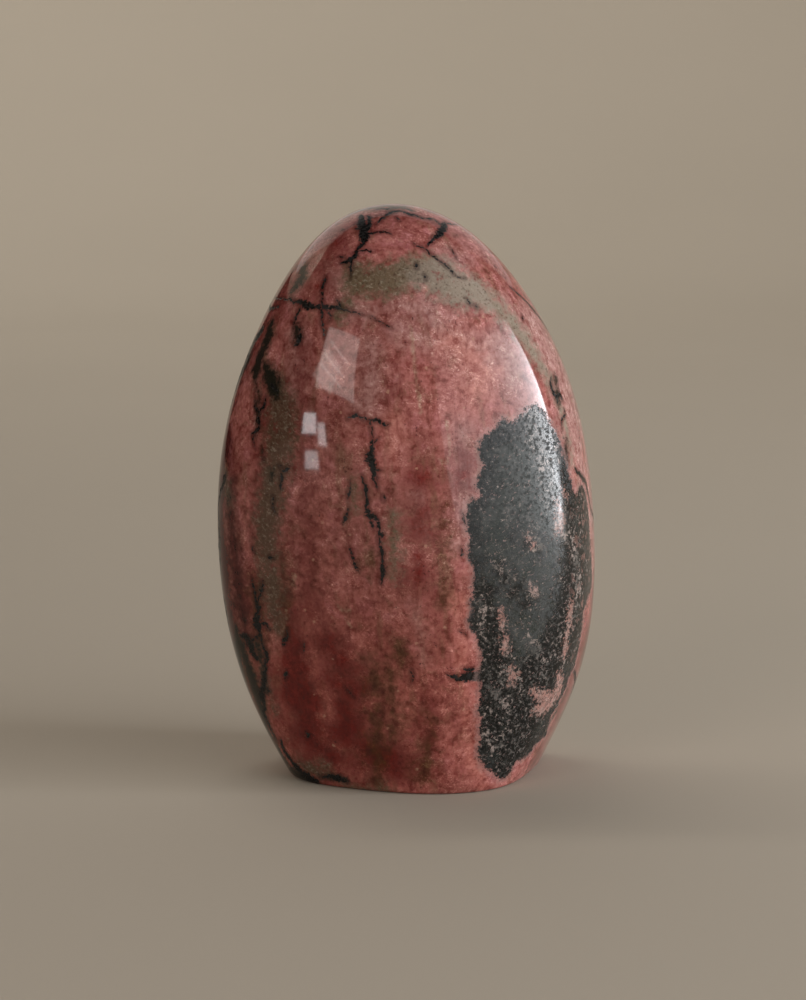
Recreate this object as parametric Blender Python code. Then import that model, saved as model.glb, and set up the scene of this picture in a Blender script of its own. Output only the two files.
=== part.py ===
"""A polished rhodonite freeform: one solid stone that stands upright on a flat, sawn base.

The stone starts as an egg-shaped blank, taller than it is wide and wider than it is deep.
Nine broad flats are ground into its sides, and polishing rounds every ridge between them.
The base is one level cut, with a small round along its edge.

Units are metres and +Z is up. The front faces -Y, +X is to the right of the front, and the
origin is the middle of the bottom of the bounding box.
"""

import math

import bmesh
import bpy
from mathutils import Vector

# The blank. Reaches are measured from its centre, which lies above the base plane.
HEIGHT = 0.120
CENTRE_HEIGHT = 0.050
HALF_WIDTH = 0.0413
HALF_DEPTH = 0.0284
UPPER_REACH = HEIGHT - CENTRE_HEIGHT
LOWER_REACH = 0.085

# How the stone stands: it leans to the left of the front, and bows a little more that way
# towards its ends. LEAN is a slope, and BOW is the shift at BOW_RISE above or below the centre.
LEAN = -0.032
BOW = -0.0020
BOW_RISE = 0.070

# The ground flats: degrees to the right of the front, degrees of upward tilt, and the
# distance from the blank's centre.
FLATS = {
    "front left": (-22.0, -5.0, 0.0272),
    "front right": (18.0, 4.0, 0.0291),
    "right side": (75.0, 2.0, 0.0388),
    "left shoulder": (-87.0, 29.0, 0.0512),
    "right shoulder": (76.0, 26.0, 0.0497),
    "left foot": (-91.0, -34.0, 0.0512),
    "right foot": (72.0, -27.0, 0.0454),
    "back left": (-150.0, 3.0, 0.0258),
    "back right": (160.0, -4.0, 0.0252),
}

# How crisp the polished ridges are. A higher power leaves a sharper ridge.
RIDGE_POWER = 12.0

# The round along the edge of the base.
EDGE_ROUND = 0.0010
EDGE_STEPS = 3

# The mesh: columns round the stone, and rows from its crown down to the base edge.
COLUMNS = 80
ROWS = 46

# The polished pink stone.
STONE_COLOUR = (0.32, 0.105, 0.08, 1.0)
STONE_ROUGHNESS = 0.12


def direction(turn, tilt):
    """The unit vector turned so many radians to the right of the front and tilted up by some."""
    level = math.cos(tilt)
    return Vector((math.sin(turn) * level, -math.cos(turn) * level, math.sin(tilt)))


FLAT_PLANES = [
    (direction(math.radians(turn), math.radians(tilt)), distance)
    for turn, tilt, distance in FLATS.values()
]


def reach(way):
    """How far the polished surface lies from the blank's centre along a unit vector.

    One over the blank's reach and one over each flat's reach are joined by a power sum, so the
    nearest of them wins and the ridges between them are round.
    """
    end_reach = LOWER_REACH + (UPPER_REACH - LOWER_REACH) * (1.0 + way.z) / 2.0
    blank = math.hypot(way.x / HALF_WIDTH, way.y / HALF_DEPTH, way.z / end_reach)
    total = blank**RIDGE_POWER
    for normal, distance in FLAT_PLANES:
        total += max(0.0, way.dot(normal) / distance) ** RIDGE_POWER
    return total ** (-1.0 / RIDGE_POWER)


def surface_point(turn, drop):
    """The stone's surface, so many radians round from the front and so many down from the crown."""
    way = direction(turn, math.pi / 2.0 - drop)
    point = way * reach(way)
    point.x += LEAN * point.z + BOW * (point.z / BOW_RISE) ** 2
    point.z += CENTRE_HEIGHT
    return point


def base_drop(turn):
    """The angle down from the crown at which one column meets the base plane, by halving."""
    above = math.pi / 2.0
    below = math.pi
    for _ in range(40):
        middle = (above + below) / 2.0
        if surface_point(turn, middle).z > 0.0:
            above = middle
        else:
            below = middle
    return (above + below) / 2.0


def grind(blank):
    """Moves each vertex of a unit ball to the stone. Its last ring becomes the base's outline."""
    base_drops = {}
    for vertex in blank.verts:
        turn = math.atan2(vertex.co.x, -vertex.co.y)
        row = round(math.acos(max(-1.0, min(1.0, vertex.co.z))) / math.pi * (ROWS + 1))
        column = round(turn / (2.0 * math.pi) * COLUMNS) % COLUMNS
        if column not in base_drops:
            base_drops[column] = base_drop(turn)
        if row <= ROWS:
            vertex.co = surface_point(turn, base_drops[column] * row / ROWS)
        if row == ROWS:
            vertex.co.z = 0.0


def cut_base(stone):
    """Turns the lower pole's fan into one flat face and rounds the edge around it."""
    pole = min(stone.verts, key=lambda vertex: vertex.co.z)
    bmesh.ops.dissolve_verts(stone, verts=[pole])
    base = min(stone.faces, key=lambda face: face.calc_center_median().z)
    bmesh.ops.bevel(
        stone,
        geom=list(base.edges),
        offset=EDGE_ROUND,
        offset_type="OFFSET",
        segments=EDGE_STEPS,
        profile=0.5,
        affect="EDGES",
        clamp_overlap=True,
    )


def centre_on_axis(stone):
    """Moves the stone so that the middle of its bounding box stands over the origin."""
    across = [vertex.co.x for vertex in stone.verts]
    along = [vertex.co.y for vertex in stone.verts]
    shift = Vector((-(min(across) + max(across)) / 2.0, -(min(along) + max(along)) / 2.0, 0.0))
    bmesh.ops.translate(stone, verts=stone.verts, vec=shift)


def stone_material():
    """Pink rhodonite with a polish."""
    material = bpy.data.materials.new("polished_rhodonite")
    material.use_nodes = True
    shader = material.node_tree.nodes["Principled BSDF"]
    shader.inputs["Base Color"].default_value = STONE_COLOUR
    shader.inputs["Roughness"].default_value = STONE_ROUGHNESS
    shader.inputs["Metallic"].default_value = 0.0
    return material


def make_stone():
    """The whole stone, as one closed solid."""
    stone = bmesh.new()
    bmesh.ops.create_uvsphere(stone, u_segments=COLUMNS, v_segments=ROWS + 1, radius=1.0)
    grind(stone)
    cut_base(stone)
    centre_on_axis(stone)
    bmesh.ops.recalc_face_normals(stone, faces=stone.faces)
    mesh = bpy.data.meshes.new("stone")
    stone.to_mesh(mesh)
    stone.free()
    mesh.shade_smooth()
    mesh.set_sharp_from_angle(angle=math.radians(35.0))
    mesh.materials.append(stone_material())
    stone_object = bpy.data.objects.new("stone", mesh)
    bpy.context.scene.collection.objects.link(stone_object)
    return stone_object


for old_object in list(bpy.data.objects):
    bpy.data.objects.remove(old_object, do_unlink=True)

make_stone()
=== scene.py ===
# %% [markdown]
# # A polished rhodonite freeform
# The object is one stone, about 12 cm tall. It was sawn flat underneath and polished all over.
# Its body is pink manganese silicate. Black manganese oxide fills old cracks and has soaked into
# one large patch on the right, and olive-grey bands cross the pink.
# The CAD frame holds the stone's exact form. This script dresses it: a finer surface from the
# same formula, marks that are drawn where they lie, and one material that reads those marks.

# %% Load the frame
import math

import bpy
import numpy as np
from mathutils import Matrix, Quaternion, Vector
from mathutils.bvhtree import BVHTree


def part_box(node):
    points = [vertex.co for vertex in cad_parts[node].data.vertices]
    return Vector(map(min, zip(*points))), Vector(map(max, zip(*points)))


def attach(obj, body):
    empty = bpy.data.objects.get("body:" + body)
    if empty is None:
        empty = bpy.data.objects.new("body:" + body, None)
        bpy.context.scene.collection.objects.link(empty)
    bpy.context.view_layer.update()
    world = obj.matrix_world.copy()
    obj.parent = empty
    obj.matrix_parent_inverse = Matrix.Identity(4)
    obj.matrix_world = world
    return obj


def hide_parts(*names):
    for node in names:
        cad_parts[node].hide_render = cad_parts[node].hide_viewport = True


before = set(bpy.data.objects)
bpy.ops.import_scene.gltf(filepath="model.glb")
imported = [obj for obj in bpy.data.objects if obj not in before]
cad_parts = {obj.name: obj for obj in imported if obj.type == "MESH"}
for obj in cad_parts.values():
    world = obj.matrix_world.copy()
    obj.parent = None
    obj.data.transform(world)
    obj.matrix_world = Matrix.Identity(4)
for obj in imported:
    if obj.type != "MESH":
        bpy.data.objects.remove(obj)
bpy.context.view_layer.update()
stone_low, stone_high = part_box("stone")
MM = 0.001

# %% [markdown]
# ## The form
# A freeform is ground by eye on a wheel. It begins as an egg-shaped blank, and each pass on the
# wheel leaves a broad flat. Polishing then rounds the ridges between the flats.
# A sculpted mesh could copy that, but one formula does it better: a surface that is the softened
# nearest of an egg and nine planes. Its ridges are round everywhere, and it can be sampled as
# finely as the marks need.

# %% The blank and its ground flats
CENTRE_HEIGHT = 0.050
HALF_WIDTH = 0.0413
HALF_DEPTH = 0.0284
UPPER_REACH = 0.070
LOWER_REACH = 0.085
LEAN = -0.032
BOW = -0.0020
BOW_RISE = 0.070
RIDGE_POWER = 12.0

# Degrees to the right of the front, degrees of upward tilt, and distance from the centre.
FLATS = {
    "front left": (-22.0, -5.0, 0.0272),
    "front right": (18.0, 4.0, 0.0291),
    "right side": (75.0, 2.0, 0.0388),
    "left shoulder": (-87.0, 29.0, 0.0512),
    "right shoulder": (76.0, 26.0, 0.0497),
    "left foot": (-91.0, -34.0, 0.0512),
    "right foot": (72.0, -27.0, 0.0454),
    "back left": (-150.0, 3.0, 0.0258),
    "back right": (160.0, -4.0, 0.0252),
}
print("flats:", ", ".join(FLATS))


# %% A point of the surface
def direction(turn, tilt):
    """Unit vectors: so far round to the right of the front (-Y), and so far up from level."""
    level = np.cos(tilt)
    return np.stack([np.sin(turn) * level, -np.cos(turn) * level, np.sin(tilt)], axis=-1)


def stone_point(turn, drop):
    """The polished surface at angles round from the front and down from the crown.

    One over the reach is the power mean of one over the egg's reach and one over each flat's
    reach. The egg has a longer reach below than above, and the axis leans and bows to the left.
    """
    way = direction(turn, np.pi / 2 - drop)
    end_reach = LOWER_REACH + (UPPER_REACH - LOWER_REACH) * (1 + way[..., 2]) / 2
    egg = np.stack([way[..., 0] / HALF_WIDTH, way[..., 1] / HALF_DEPTH, way[..., 2] / end_reach])
    total = np.linalg.norm(egg, axis=0) ** RIDGE_POWER
    for flat_turn, flat_tilt, distance in FLATS.values():
        normal = direction(math.radians(flat_turn), math.radians(flat_tilt))
        total = total + np.maximum(0, way @ normal / distance) ** RIDGE_POWER
    point = way * (total ** (-1 / RIDGE_POWER))[..., None]
    rise = point[..., 2].copy()
    point[..., 0] += LEAN * rise + BOW * (rise / BOW_RISE) ** 2
    point[..., 2] = rise + CENTRE_HEIGHT
    return point


crown = stone_point(np.zeros(1), np.zeros(1))[0]
print("crown at, mm:", (crown / MM).round(1))

# %% [markdown]
# ## The surface
# The marks are only as sharp as the grid that carries them, so the surface is a fine grid:
# columns round the stone and rows from the crown to the base, about half a millimetre apart.
# Below the last row comes the small round that a polisher leaves along the sawn edge, and then
# rings that close the flat base.

# %% Rows down the sides
COLUMNS = 400
ROWS = 218
PROFILE_SAMPLES = 400
HALVINGS = 40


def base_drop(turn):
    """The angle down from the crown at which each column meets the table, by halving."""
    above = np.full_like(turn, np.pi / 2)
    below = np.full_like(turn, np.pi)
    for _ in range(HALVINGS):
        middle = (above + below) / 2
        clear = stone_point(turn, middle)[..., 2] > 0
        above = np.where(clear, middle, above)
        below = np.where(clear, below, middle)
    return middle


def even_rows(turn, last_drop, count):
    """Row angles whose spacing along the middle of the surface is even, as shares of the way."""
    share = np.linspace(0, 1, PROFILE_SAMPLES)
    profile = stone_point(turn[:, None], last_drop[:, None] * share)
    step = np.linalg.norm(np.diff(profile, axis=1), axis=2).mean(axis=0)
    travelled = np.concatenate([[0], np.cumsum(step)])
    return np.interp(np.linspace(0, 1, count + 1) * travelled[-1], travelled, share)[1:]


column_turn = np.arange(COLUMNS) * 2 * np.pi / COLUMNS
edge_drop = base_drop(column_turn)
edge = stone_point(column_turn, edge_drop)
print("base edge, mm:", (np.ptp(edge, axis=0) / MM).round(1))

# %% The round of the base edge and the flat base
EDGE_ROUND = 0.0010
SLOPE_STEP = 0.01
ROUND_ROWS = 6
BASE_RINGS = 10

# The side's last row ends one edge round above the base, measured along the surface. A small
# step up from the edge tells how far the surface runs for each radian.
edge_above = stone_point(column_turn, edge_drop - SLOPE_STEP)
wall_drop = edge_drop - EDGE_ROUND * SLOPE_STEP / np.linalg.norm(edge_above - edge, axis=1)
row_drops = wall_drop[None, :] * even_rows(column_turn, wall_drop, ROWS)[:, None]
side = stone_point(np.broadcast_to(column_turn, row_drops.shape), row_drops)

# The round is a curve from the last row to the flat, drawn towards the sharp edge between them.
# Inside it, rings shrink evenly to the middle of the base.
base_centre = edge.mean(axis=0)
inward = base_centre - edge
flat = edge + inward / np.linalg.norm(inward, axis=1)[:, None] * EDGE_ROUND
bend = np.linspace(0, 1, ROUND_ROWS + 1)[1:, None, None]
arc = (1 - bend) ** 2 * side[-1] + 2 * bend * (1 - bend) * edge + bend**2 * flat
arc[-1, :, 2] = 0
inner = np.linspace(0, 1, BASE_RINGS + 1)[1:-1, None, None]
base = flat * (1 - inner) + base_centre * inner
base[..., 2] = 0
base_centre = base_centre * [1, 1, 0]
rings = np.concatenate([side, arc, base])
print("rings:", len(side), "down the side,", len(arc), "round the edge,", len(base), "underneath")


# %% The grid as one mesh
def centred(points):
    """The points moved so that the box around them is centred like the CAD stone's."""
    middle = (points.min(axis=0) + points.max(axis=0)) / 2
    target = (np.array(stone_low) + np.array(stone_high)) / 2
    return points + (target - middle) * [1, 1, 0]


def ring_quads(ring_count, columns):
    """Four-sided faces between neighbouring rings of points, all the way round."""
    here = np.arange(columns)
    after = (here + 1) % columns
    start = np.arange(ring_count - 1)[:, None] * columns
    corners = [start + here, start + columns + here, start + columns + after, start + after]
    return np.stack(corners, axis=-1).reshape(-1, 4)


def new_piece(name, points, *faces):
    """A smooth mesh object at the origin, from points and one or more arrays of faces."""
    mesh = bpy.data.meshes.new(name)
    mesh.from_pydata(points, [], [face for part in faces for face in part.tolist()])
    mesh.shade_smooth()
    piece = bpy.data.objects.new(name, mesh)
    bpy.context.scene.collection.objects.link(piece)
    return piece


points = centred(np.concatenate([rings.reshape(-1, 3), [crown], [base_centre]]))
quads = ring_quads(len(rings), COLUMNS)
column = np.arange(COLUMNS)
after = (column + 1) % COLUMNS
crown_index = len(rings) * COLUMNS
last_ring = crown_index - COLUMNS
crown_fan = np.stack([np.full(COLUMNS, crown_index), column, after], axis=-1)
base_fan = np.stack([np.full(COLUMNS, crown_index + 1), last_ring + after, last_ring + column], axis=-1)
skin_faces = (quads, crown_fan, base_fan)
stone = new_piece("polished_stone", points, *skin_faces)
stone_mesh = stone.data
print("triangles:", 2 * len(quads) + 2 * COLUMNS)
print("box, mm:", (points.min(axis=0) / MM).round(1), (points.max(axis=0) / MM).round(1))

# %% [markdown]
# ## The camera
# A long lens from half a metre away keeps the stone's sides nearly parallel. The camera looks
# slightly down, so the front of the base edge shows as a shallow curve on the table.

# %% Camera
AIM = np.array([-0.0009, 0.0005, 0.0579])
CAMERA_DISTANCE = 0.498
CAMERA_TILT = 8.9
LENS_MM = 85.0
SENSOR_MM = 36.0
NEAR_LIMIT = 0.01

camera_data = bpy.data.cameras.new("camera")
camera_data.lens = LENS_MM
camera_data.sensor_width = SENSOR_MM
camera_data.clip_start = NEAR_LIMIT
camera = bpy.data.objects.new("camera", camera_data)
camera_out = direction(0.0, math.radians(CAMERA_TILT))
camera.location = AIM + camera_out * CAMERA_DISTANCE
camera.rotation_euler = Vector(-camera_out).to_track_quat("-Z", "Y").to_euler()
bpy.context.scene.collection.objects.link(camera)
bpy.context.scene.camera = camera
print("camera at, mm:", (np.array(camera.location) / MM).round(0))

# %% [markdown]
# ## Drawing on the stone
# Every vein, patch and band has its own place, and noise alone can't put it there. So the marks
# are drawn, as a stone painter would draw them: on a clear pane that stands in front of one side.
# A drawn point is (right, up) in millimetres from the middle of the pane. It is then carried
# straight through the pane onto the stone, so a mark lies on the surface from every side.

# %% Panes and the way from a pane to the surface
# Each pane's turn to the right of the front, and its upward tilt, in degrees.
PANES = {
    "front": (0.0, CAMERA_TILT),
    "right": (90.0, 4.0),
    "back": (180.0, 4.0),
    "left": (-90.0, 4.0),
}

skin = BVHTree.FromPolygons(points.tolist(), quads.tolist())
skin_mm = points / MM


def on_stone(pane, drawn):
    """Where lines of sight through the drawn points meet the stone, in mm.

    A line that passes the stone by takes the point of the surface that it passes closest.
    """
    turn, tilt = np.radians(PANES[pane])
    out = direction(turn, tilt)
    right = np.array([math.cos(turn), math.sin(turn), 0.0])
    up = np.cross(right, -out)
    eye = Vector(AIM + out * CAMERA_DISTANCE)
    found = []
    for x, y in np.asarray(drawn):
        through = Vector(AIM + (right * x + up * y) * MM)
        hit = skin.ray_cast(eye, (through - eye).normalized())[0]
        found.append(hit or skin.find_nearest(through)[0])
    return np.array(found) / MM


print("middle of each pane falls at, mm:", {pane: on_stone(pane, [(0, 0)])[0].round(1) for pane in PANES})

# %% Drawn lines as short pieces on the surface
POINT_SPACING = 1.0
SHORTEST_PIECE = 1e-6
PLACES_AT_ONCE = 4000


def traced(pane, drawn):
    """A drawn line's points on the stone and its half widths, in mm, closely spaced."""
    drawn = np.array(drawn)
    gaps = np.linalg.norm(np.diff(drawn[:, :2], axis=0), axis=1)
    travelled = np.concatenate([[0], np.cumsum(gaps)])
    extra = np.arange(0, travelled[-1], POINT_SPACING)
    stops = np.unique(np.concatenate([travelled, extra]).round(3))
    x, y, half_width = (np.interp(stops, travelled, drawn[:, i]) for i in range(3))
    return on_stone(pane, np.stack([x, y], axis=-1)), half_width


class Lines:
    """Many drawn lines, each with its pane, as one set of short straight pieces on the stone."""

    def __init__(self, drawings):
        paths = [traced(pane, drawn) for pane, drawn in drawings]
        self.start = np.concatenate([path[:-1] for path, _ in paths])
        self.run = np.concatenate([path[1:] for path, _ in paths]) - self.start
        self.length = np.maximum(np.linalg.norm(self.run, axis=1), SHORTEST_PIECE)
        self.start_width = np.concatenate([half_width[:-1] for _, half_width in paths])
        self.width_gain = np.concatenate([half_width[1:] for _, half_width in paths]) - self.start_width

    def nearest(self, places):
        """For each place: which piece's edge is nearest, and how far off it is, in mm.

        The square of the gap to a line is that to its start, less twice the way along it times
        the way gone, plus the square of the way gone. The places are taken in batches, because
        one array of all places by all pieces would fill the memory.
        """
        pieces, gaps = [], []
        square = self.length**2
        start_along = (self.start * self.run).sum(axis=1)
        start_square = (self.start**2).sum(axis=1)
        for first in range(0, len(places), PLACES_AT_ONCE):
            part = places[first : first + PLACES_AT_ONCE]
            along = part @ self.run.T - start_along
            share = np.clip(along / square, 0, 1)
            apart = (part**2).sum(axis=1)[:, None] - 2 * part @ self.start.T + start_square
            reach = apart - 2 * share * along + share**2 * square
            gap = np.sqrt(np.maximum(reach, 0)) - self.start_width - share * self.width_gain
            nearest = gap.argmin(axis=1)
            pieces.append(nearest)
            gaps.append(gap[np.arange(len(part)), nearest])
        return np.concatenate(pieces), np.concatenate(gaps)


def store(name, values, domain="POINT"):
    """Keeps one number for each vertex, or for each face corner, on the stone's mesh."""
    attribute = stone_mesh.attributes.new(name, "FLOAT", domain)
    attribute.data.foreach_set("value", np.ascontiguousarray(values, dtype=np.float32).ravel())


print("a drawn line is cut every", POINT_SPACING, "mm")

# %% [markdown]
# ## The black veins
# Cracks in the pink rock filled with black manganese oxide. They start thick, turn at grain
# edges, fork, and run out as hairlines.
# Each entry is one vein: its points on its side's pane, as (right, up, half width) in mm.

# %% Veins of the front: the crown and the long bar across the left shoulder
CROWN_VEINS = {
    "crown fork": [(-8.9, 60.1, 0.32), (-8.9, 58.6, 0.63), (-8.2, 57, 0.84), (-8, 55.5, 0.84),
        (-8.4, 54.2, 0.59), (-9.7, 52.7, 0.38), (-10.1, 51.5, 0.51), (-11.2, 50.6, 0.46), (-12.2, 50.2, 0.32),
        (-13.3, 50, 0.06)],
    "crown fork horn": [(-7.4, 59.9, 0.32), (-7, 58.4, 0.51), (-7.6, 56.7, 0.63)],
    "crown fork ear": [(-9.9, 57.4, 0.17), (-9.1, 57.2, 0.42)],
    "crown fork arm": [(-7.8, 56.1, 0.34), (-6.3, 56.3, 0.25), (-5.1, 56.5, 0.17), (-3.6, 56.7, 0.21),
        (-2.3, 55.9, 0.06)],
    "crown fork spur": [(-9.3, 52.5, 0.21), (-7.8, 52.7, 0.15), (-6.7, 52.5, 0.21), (-6.1, 52.5, 0)],
    "crown fork tail": [(-11, 50.8, 0.38), (-11.2, 49.8, 0.23), (-10.8, 48.9, 0.32), (-11, 47.9, 0.21),
        (-11.2, 46.6, 0)],
    "crown fork bit": [(-13.5, 51.3, 0.06), (-12.9, 51.3, 0.25), (-12.4, 51, 0.04)],
    "crown line": [(-5.9, 57.8, 0), (-5.5, 58.4, 0.23), (-4.6, 59.1, 0.3), (-3.8, 59.7, 0.3), (-3, 60.5, 0.4),
        (-1.7, 61, 0.27), (-0.2, 61, 0.21), (0.8, 60.5, 0.23), (1.7, 60.1, 0.42), (2.5, 60.1, 0.4),
        (3.4, 59.7, 0.23), (4.9, 59.3, 0.19), (6.5, 59.3, 0.17), (7.8, 58, 0.17)],
    "crown top line": [(-6.1, 61.2, 0), (-4.9, 61.4, 0.23), (-3.2, 61.4, 0.27), (-1.5, 61.6, 0)],
    "crown dot": [(-1.5, 59.7, 0.08), (-1.1, 59.1, 0.27), (-0.6, 58.8, 0.04)],
    "crown hook": [(8.9, 58.4, 0.38), (8.4, 57.4, 0.63), (7.6, 56.1, 0.63), (6.5, 55.1, 0.38),
        (5.7, 54.2, 0.36), (5.1, 53.6, 0.08)],
    "crown wisp": [(8.6, 58.4, 0.21), (10.3, 58.2, 0.13), (12.2, 58, 0)],
    "crown crack": [(1.9, 54.4, 0.06), (2.7, 53.8, 0.21), (4.2, 53.2, 0.21), (5.3, 52.3, 0.19),
        (6.3, 51.5, 0.15), (7.6, 50.4, 0.15), (8.9, 49.6, 0.21), (9.9, 48.7, 0.21), (10.8, 47.5, 0.15),
        (11.8, 47, 0.15), (13.1, 46.8, 0)],
    "crown hairline": [(9.9, 53.2, 0.06), (10.8, 51.9, 0.13), (11.4, 50.8, 0)],
    "cross bar": [(-28.1, 42.8, 0), (-25.5, 42.4, 0.11), (-23.6, 42.4, 0.25), (-22.6, 41.8, 0.27),
        (-21.7, 41.6, 0.46), (-20.5, 41.1, 0.63), (-19.4, 40.7, 0.46), (-18.4, 40.7, 0.27),
        (-17.1, 40.7, 0.4), (-15.6, 40.5, 0.4), (-14.3, 40.5, 0.34), (-13.1, 40.5, 0.3), (-12, 40.1, 0.19),
        (-9.9, 39.4, 0.17), (-8.2, 39, 0.04)],
    "cross bar tip": [(-7.2, 38.8, 0.04), (-5.7, 38, 0.11), (-4, 37.1, 0.15), (-2.7, 36.5, 0.13),
        (-2.3, 36.1, 0)],
    "cross bar spur": [(-14.1, 42.2, 0.11), (-13.7, 41.6, 0.34), (-13.1, 40.5, 0.21)],
    "cross upright": [(-16.5, 47, 0.11), (-16.5, 46, 0.3), (-17.1, 44.3, 0.21), (-16.9, 42.8, 0.25),
        (-17.1, 41.3, 0.34), (-17.3, 39.9, 0.25), (-16.9, 39, 0.36), (-17.3, 37.8, 0.21), (-16.9, 36.5, 0.23),
        (-16.5, 35.4, 0.27), (-16.5, 34.4, 0.06)],
    "cross twig": [(-16.9, 40.3, 0.17), (-15.8, 39.7, 0.19), (-15.2, 38.6, 0.19), (-15.8, 37.5, 0.04)],
    "cross drop": [(-21.7, 40.5, 0.25), (-22.4, 39, 0.27), (-23, 37.8, 0.21), (-23.2, 36.3, 0.04)],
    "cross drop blot": [(-21.7, 36.5, 0.06), (-21.5, 35.2, 0.27), (-21.7, 34, 0.44), (-22.1, 33.1, 0.46),
        (-23, 32.5, 0.13)],
}
print("crown and bar:", len(CROWN_VEINS))

# %% Veins of the front: the left side and the foot
LEFT_EDGE_VEINS = {
    "left twig": [(-31.2, 21.5, 0.06), (-31.2, 20, 0.32), (-30.8, 19, 0.42), (-30.4, 18.1, 0.21),
        (-30.6, 16.7, 0.21), (-30.4, 15.4, 0.42), (-31, 14.3, 0.25), (-31.9, 13.9, 0.19), (-31.6, 12.4, 0.23),
        (-31.2, 10.8, 0.06)],
    "left twig arm": [(-28.9, 21.9, 0.04), (-29.3, 20.5, 0.3), (-29.7, 19.2, 0.34), (-30.6, 18.6, 0.17)],
    "left lower twig": [(-29.7, 11.2, 0.04), (-29.5, 10.3, 0.25), (-29.7, 9.5, 0.11), (-29.5, 8.9, 0.25),
        (-29.5, 8, 0)],
    "spear tip": [(-27.8, 24.3, 0.32), (-27, 23.4, 0.38), (-26.6, 22.6, 0.32), (-26.2, 21.7, 0)],
    "band fleck a": [(-24, 7, 0.06), (-24.7, 6.5, 0.38), (-25.3, 5.7, 0.15), (-25.7, 4.6, 0.32),
        (-25.7, 2.7, 0.34), (-25.5, 1.9, 0)],
    "band fleck b": [(-27.4, 0.8, 0.13), (-27.4, -0.4, 0.19), (-27.4, -1.9, 0.27), (-26.8, -3, 0.04)],
    "band fleck c": [(-26.4, 7.2, 0.06), (-25.9, 7.2, 0.3), (-25.5, 7.2, 0.04)],
    "band fleck d": [(-28.5, -12, 0.11), (-27.8, -12, 0.46), (-27.2, -12.2, 0.13)],
    "band fleck e": [(-31.9, -9.7, 0.06), (-31.6, -10.5, 0.32), (-31.4, -11.4, 0.06)],
    "low run": [(-31.9, -16.2, 0.04), (-31.9, -17.3, 0.27), (-31.4, -18.8, 0.32), (-31.2, -20.2, 0.21),
        (-30.8, -21.9, 0.42), (-30.4, -23.6, 0.36), (-30.8, -24.9, 0.59), (-30.8, -26.2, 0.84),
        (-30.4, -27.6, 0.46), (-30, -29.1, 0.32), (-29.5, -30.6, 0.25), (-28.7, -32.7, 0.46),
        (-28.9, -34.2, 0.36), (-29.1, -35.6, 0.25), (-29.1, -37.3, 0.36), (-29.3, -38.8, 0.55),
        (-29.7, -40.5, 0.63), (-29.7, -41.8, 0.67), (-29.1, -43.5, 0.34), (-29.5, -44.9, 0.42),
        (-28.5, -46.8, 0.32), (-27.6, -48.9, 0.21), (-26.4, -51, 0)],
    "low run feeder": [(-29.5, -16.5, 0.04), (-29.7, -18.4, 0.34), (-30, -19.8, 0.21), (-30.6, -21.5, 0.19)],
    "low run knot": [(-28.9, -39.7, 0.21), (-28.3, -40.1, 0.42), (-28.5, -40.9, 0.08)],
    "low run fleck": [(-29.7, -26.2, 0.32), (-28.9, -26.2, 0.38), (-28.3, -27.2, 0.19), (-27.6, -27.6, 0)],
    "low blot": [(-34.4, -28.3, 0.17), (-33.5, -28.7, 0.53), (-32.5, -29.5, 0.72), (-32.3, -31, 0.72),
        (-31.4, -32.5, 0.63), (-30.8, -34, 0.21)],
    "low blot neck": [(-32.3, -29.5, 0.32), (-31, -29.1, 0.21), (-30.2, -28.9, 0.21)],
    "low arm": [(-24.5, -27.2, 0.04), (-24.5, -28.7, 0.34), (-25.1, -30, 0.27), (-25.3, -31, 0.06)],
    "low dot a": [(-33.7, -25.1, 0.11), (-33.3, -25.3, 0.34), (-32.9, -25.5, 0.06)],
    "low dot b": [(-35.6, -26.2, 0.13), (-35.2, -27, 0.42), (-34.8, -27.6, 0.08)],
    "low dot c": [(-24.7, -36.1, 0.11), (-24.7, -36.9, 0.4), (-24.7, -37.8, 0.08)],
    "low dot d": [(-20.9, -30, 0.08), (-20.9, -31.2, 0.25), (-21.1, -32.3, 0.04)],
    "low dot e": [(-20.5, -48.9, 0.11), (-19.8, -49.6, 0.38), (-20.2, -50.2, 0.06)],
    "foot rim": [(-25.9, -50.2, 0.06), (-25.5, -51.7, 0.34), (-24.7, -53.4, 0.46), (-23.6, -54.8, 0.42),
        (-22.6, -56.3, 0.55), (-21.3, -57.6, 0.72), (-19.6, -58.8, 0.76), (-17.7, -59.9, 0.63),
        (-15.4, -60.7, 0.32)],
    "foot bar": [(-17.1, -58.4, 0.06), (-15.8, -58.4, 0.32), (-14.3, -58.4, 0.51), (-13.1, -58.6, 0.51),
        (-12, -59.3, 0.21), (-11.4, -59.7, 0)],
    "foot scratch": [(-12.2, -39.7, 0.04), (-11.2, -40.7, 0.15), (-10.3, -41.6, 0.04)],
}
print("left side and foot:", len(LEFT_EDGE_VEINS))

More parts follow.
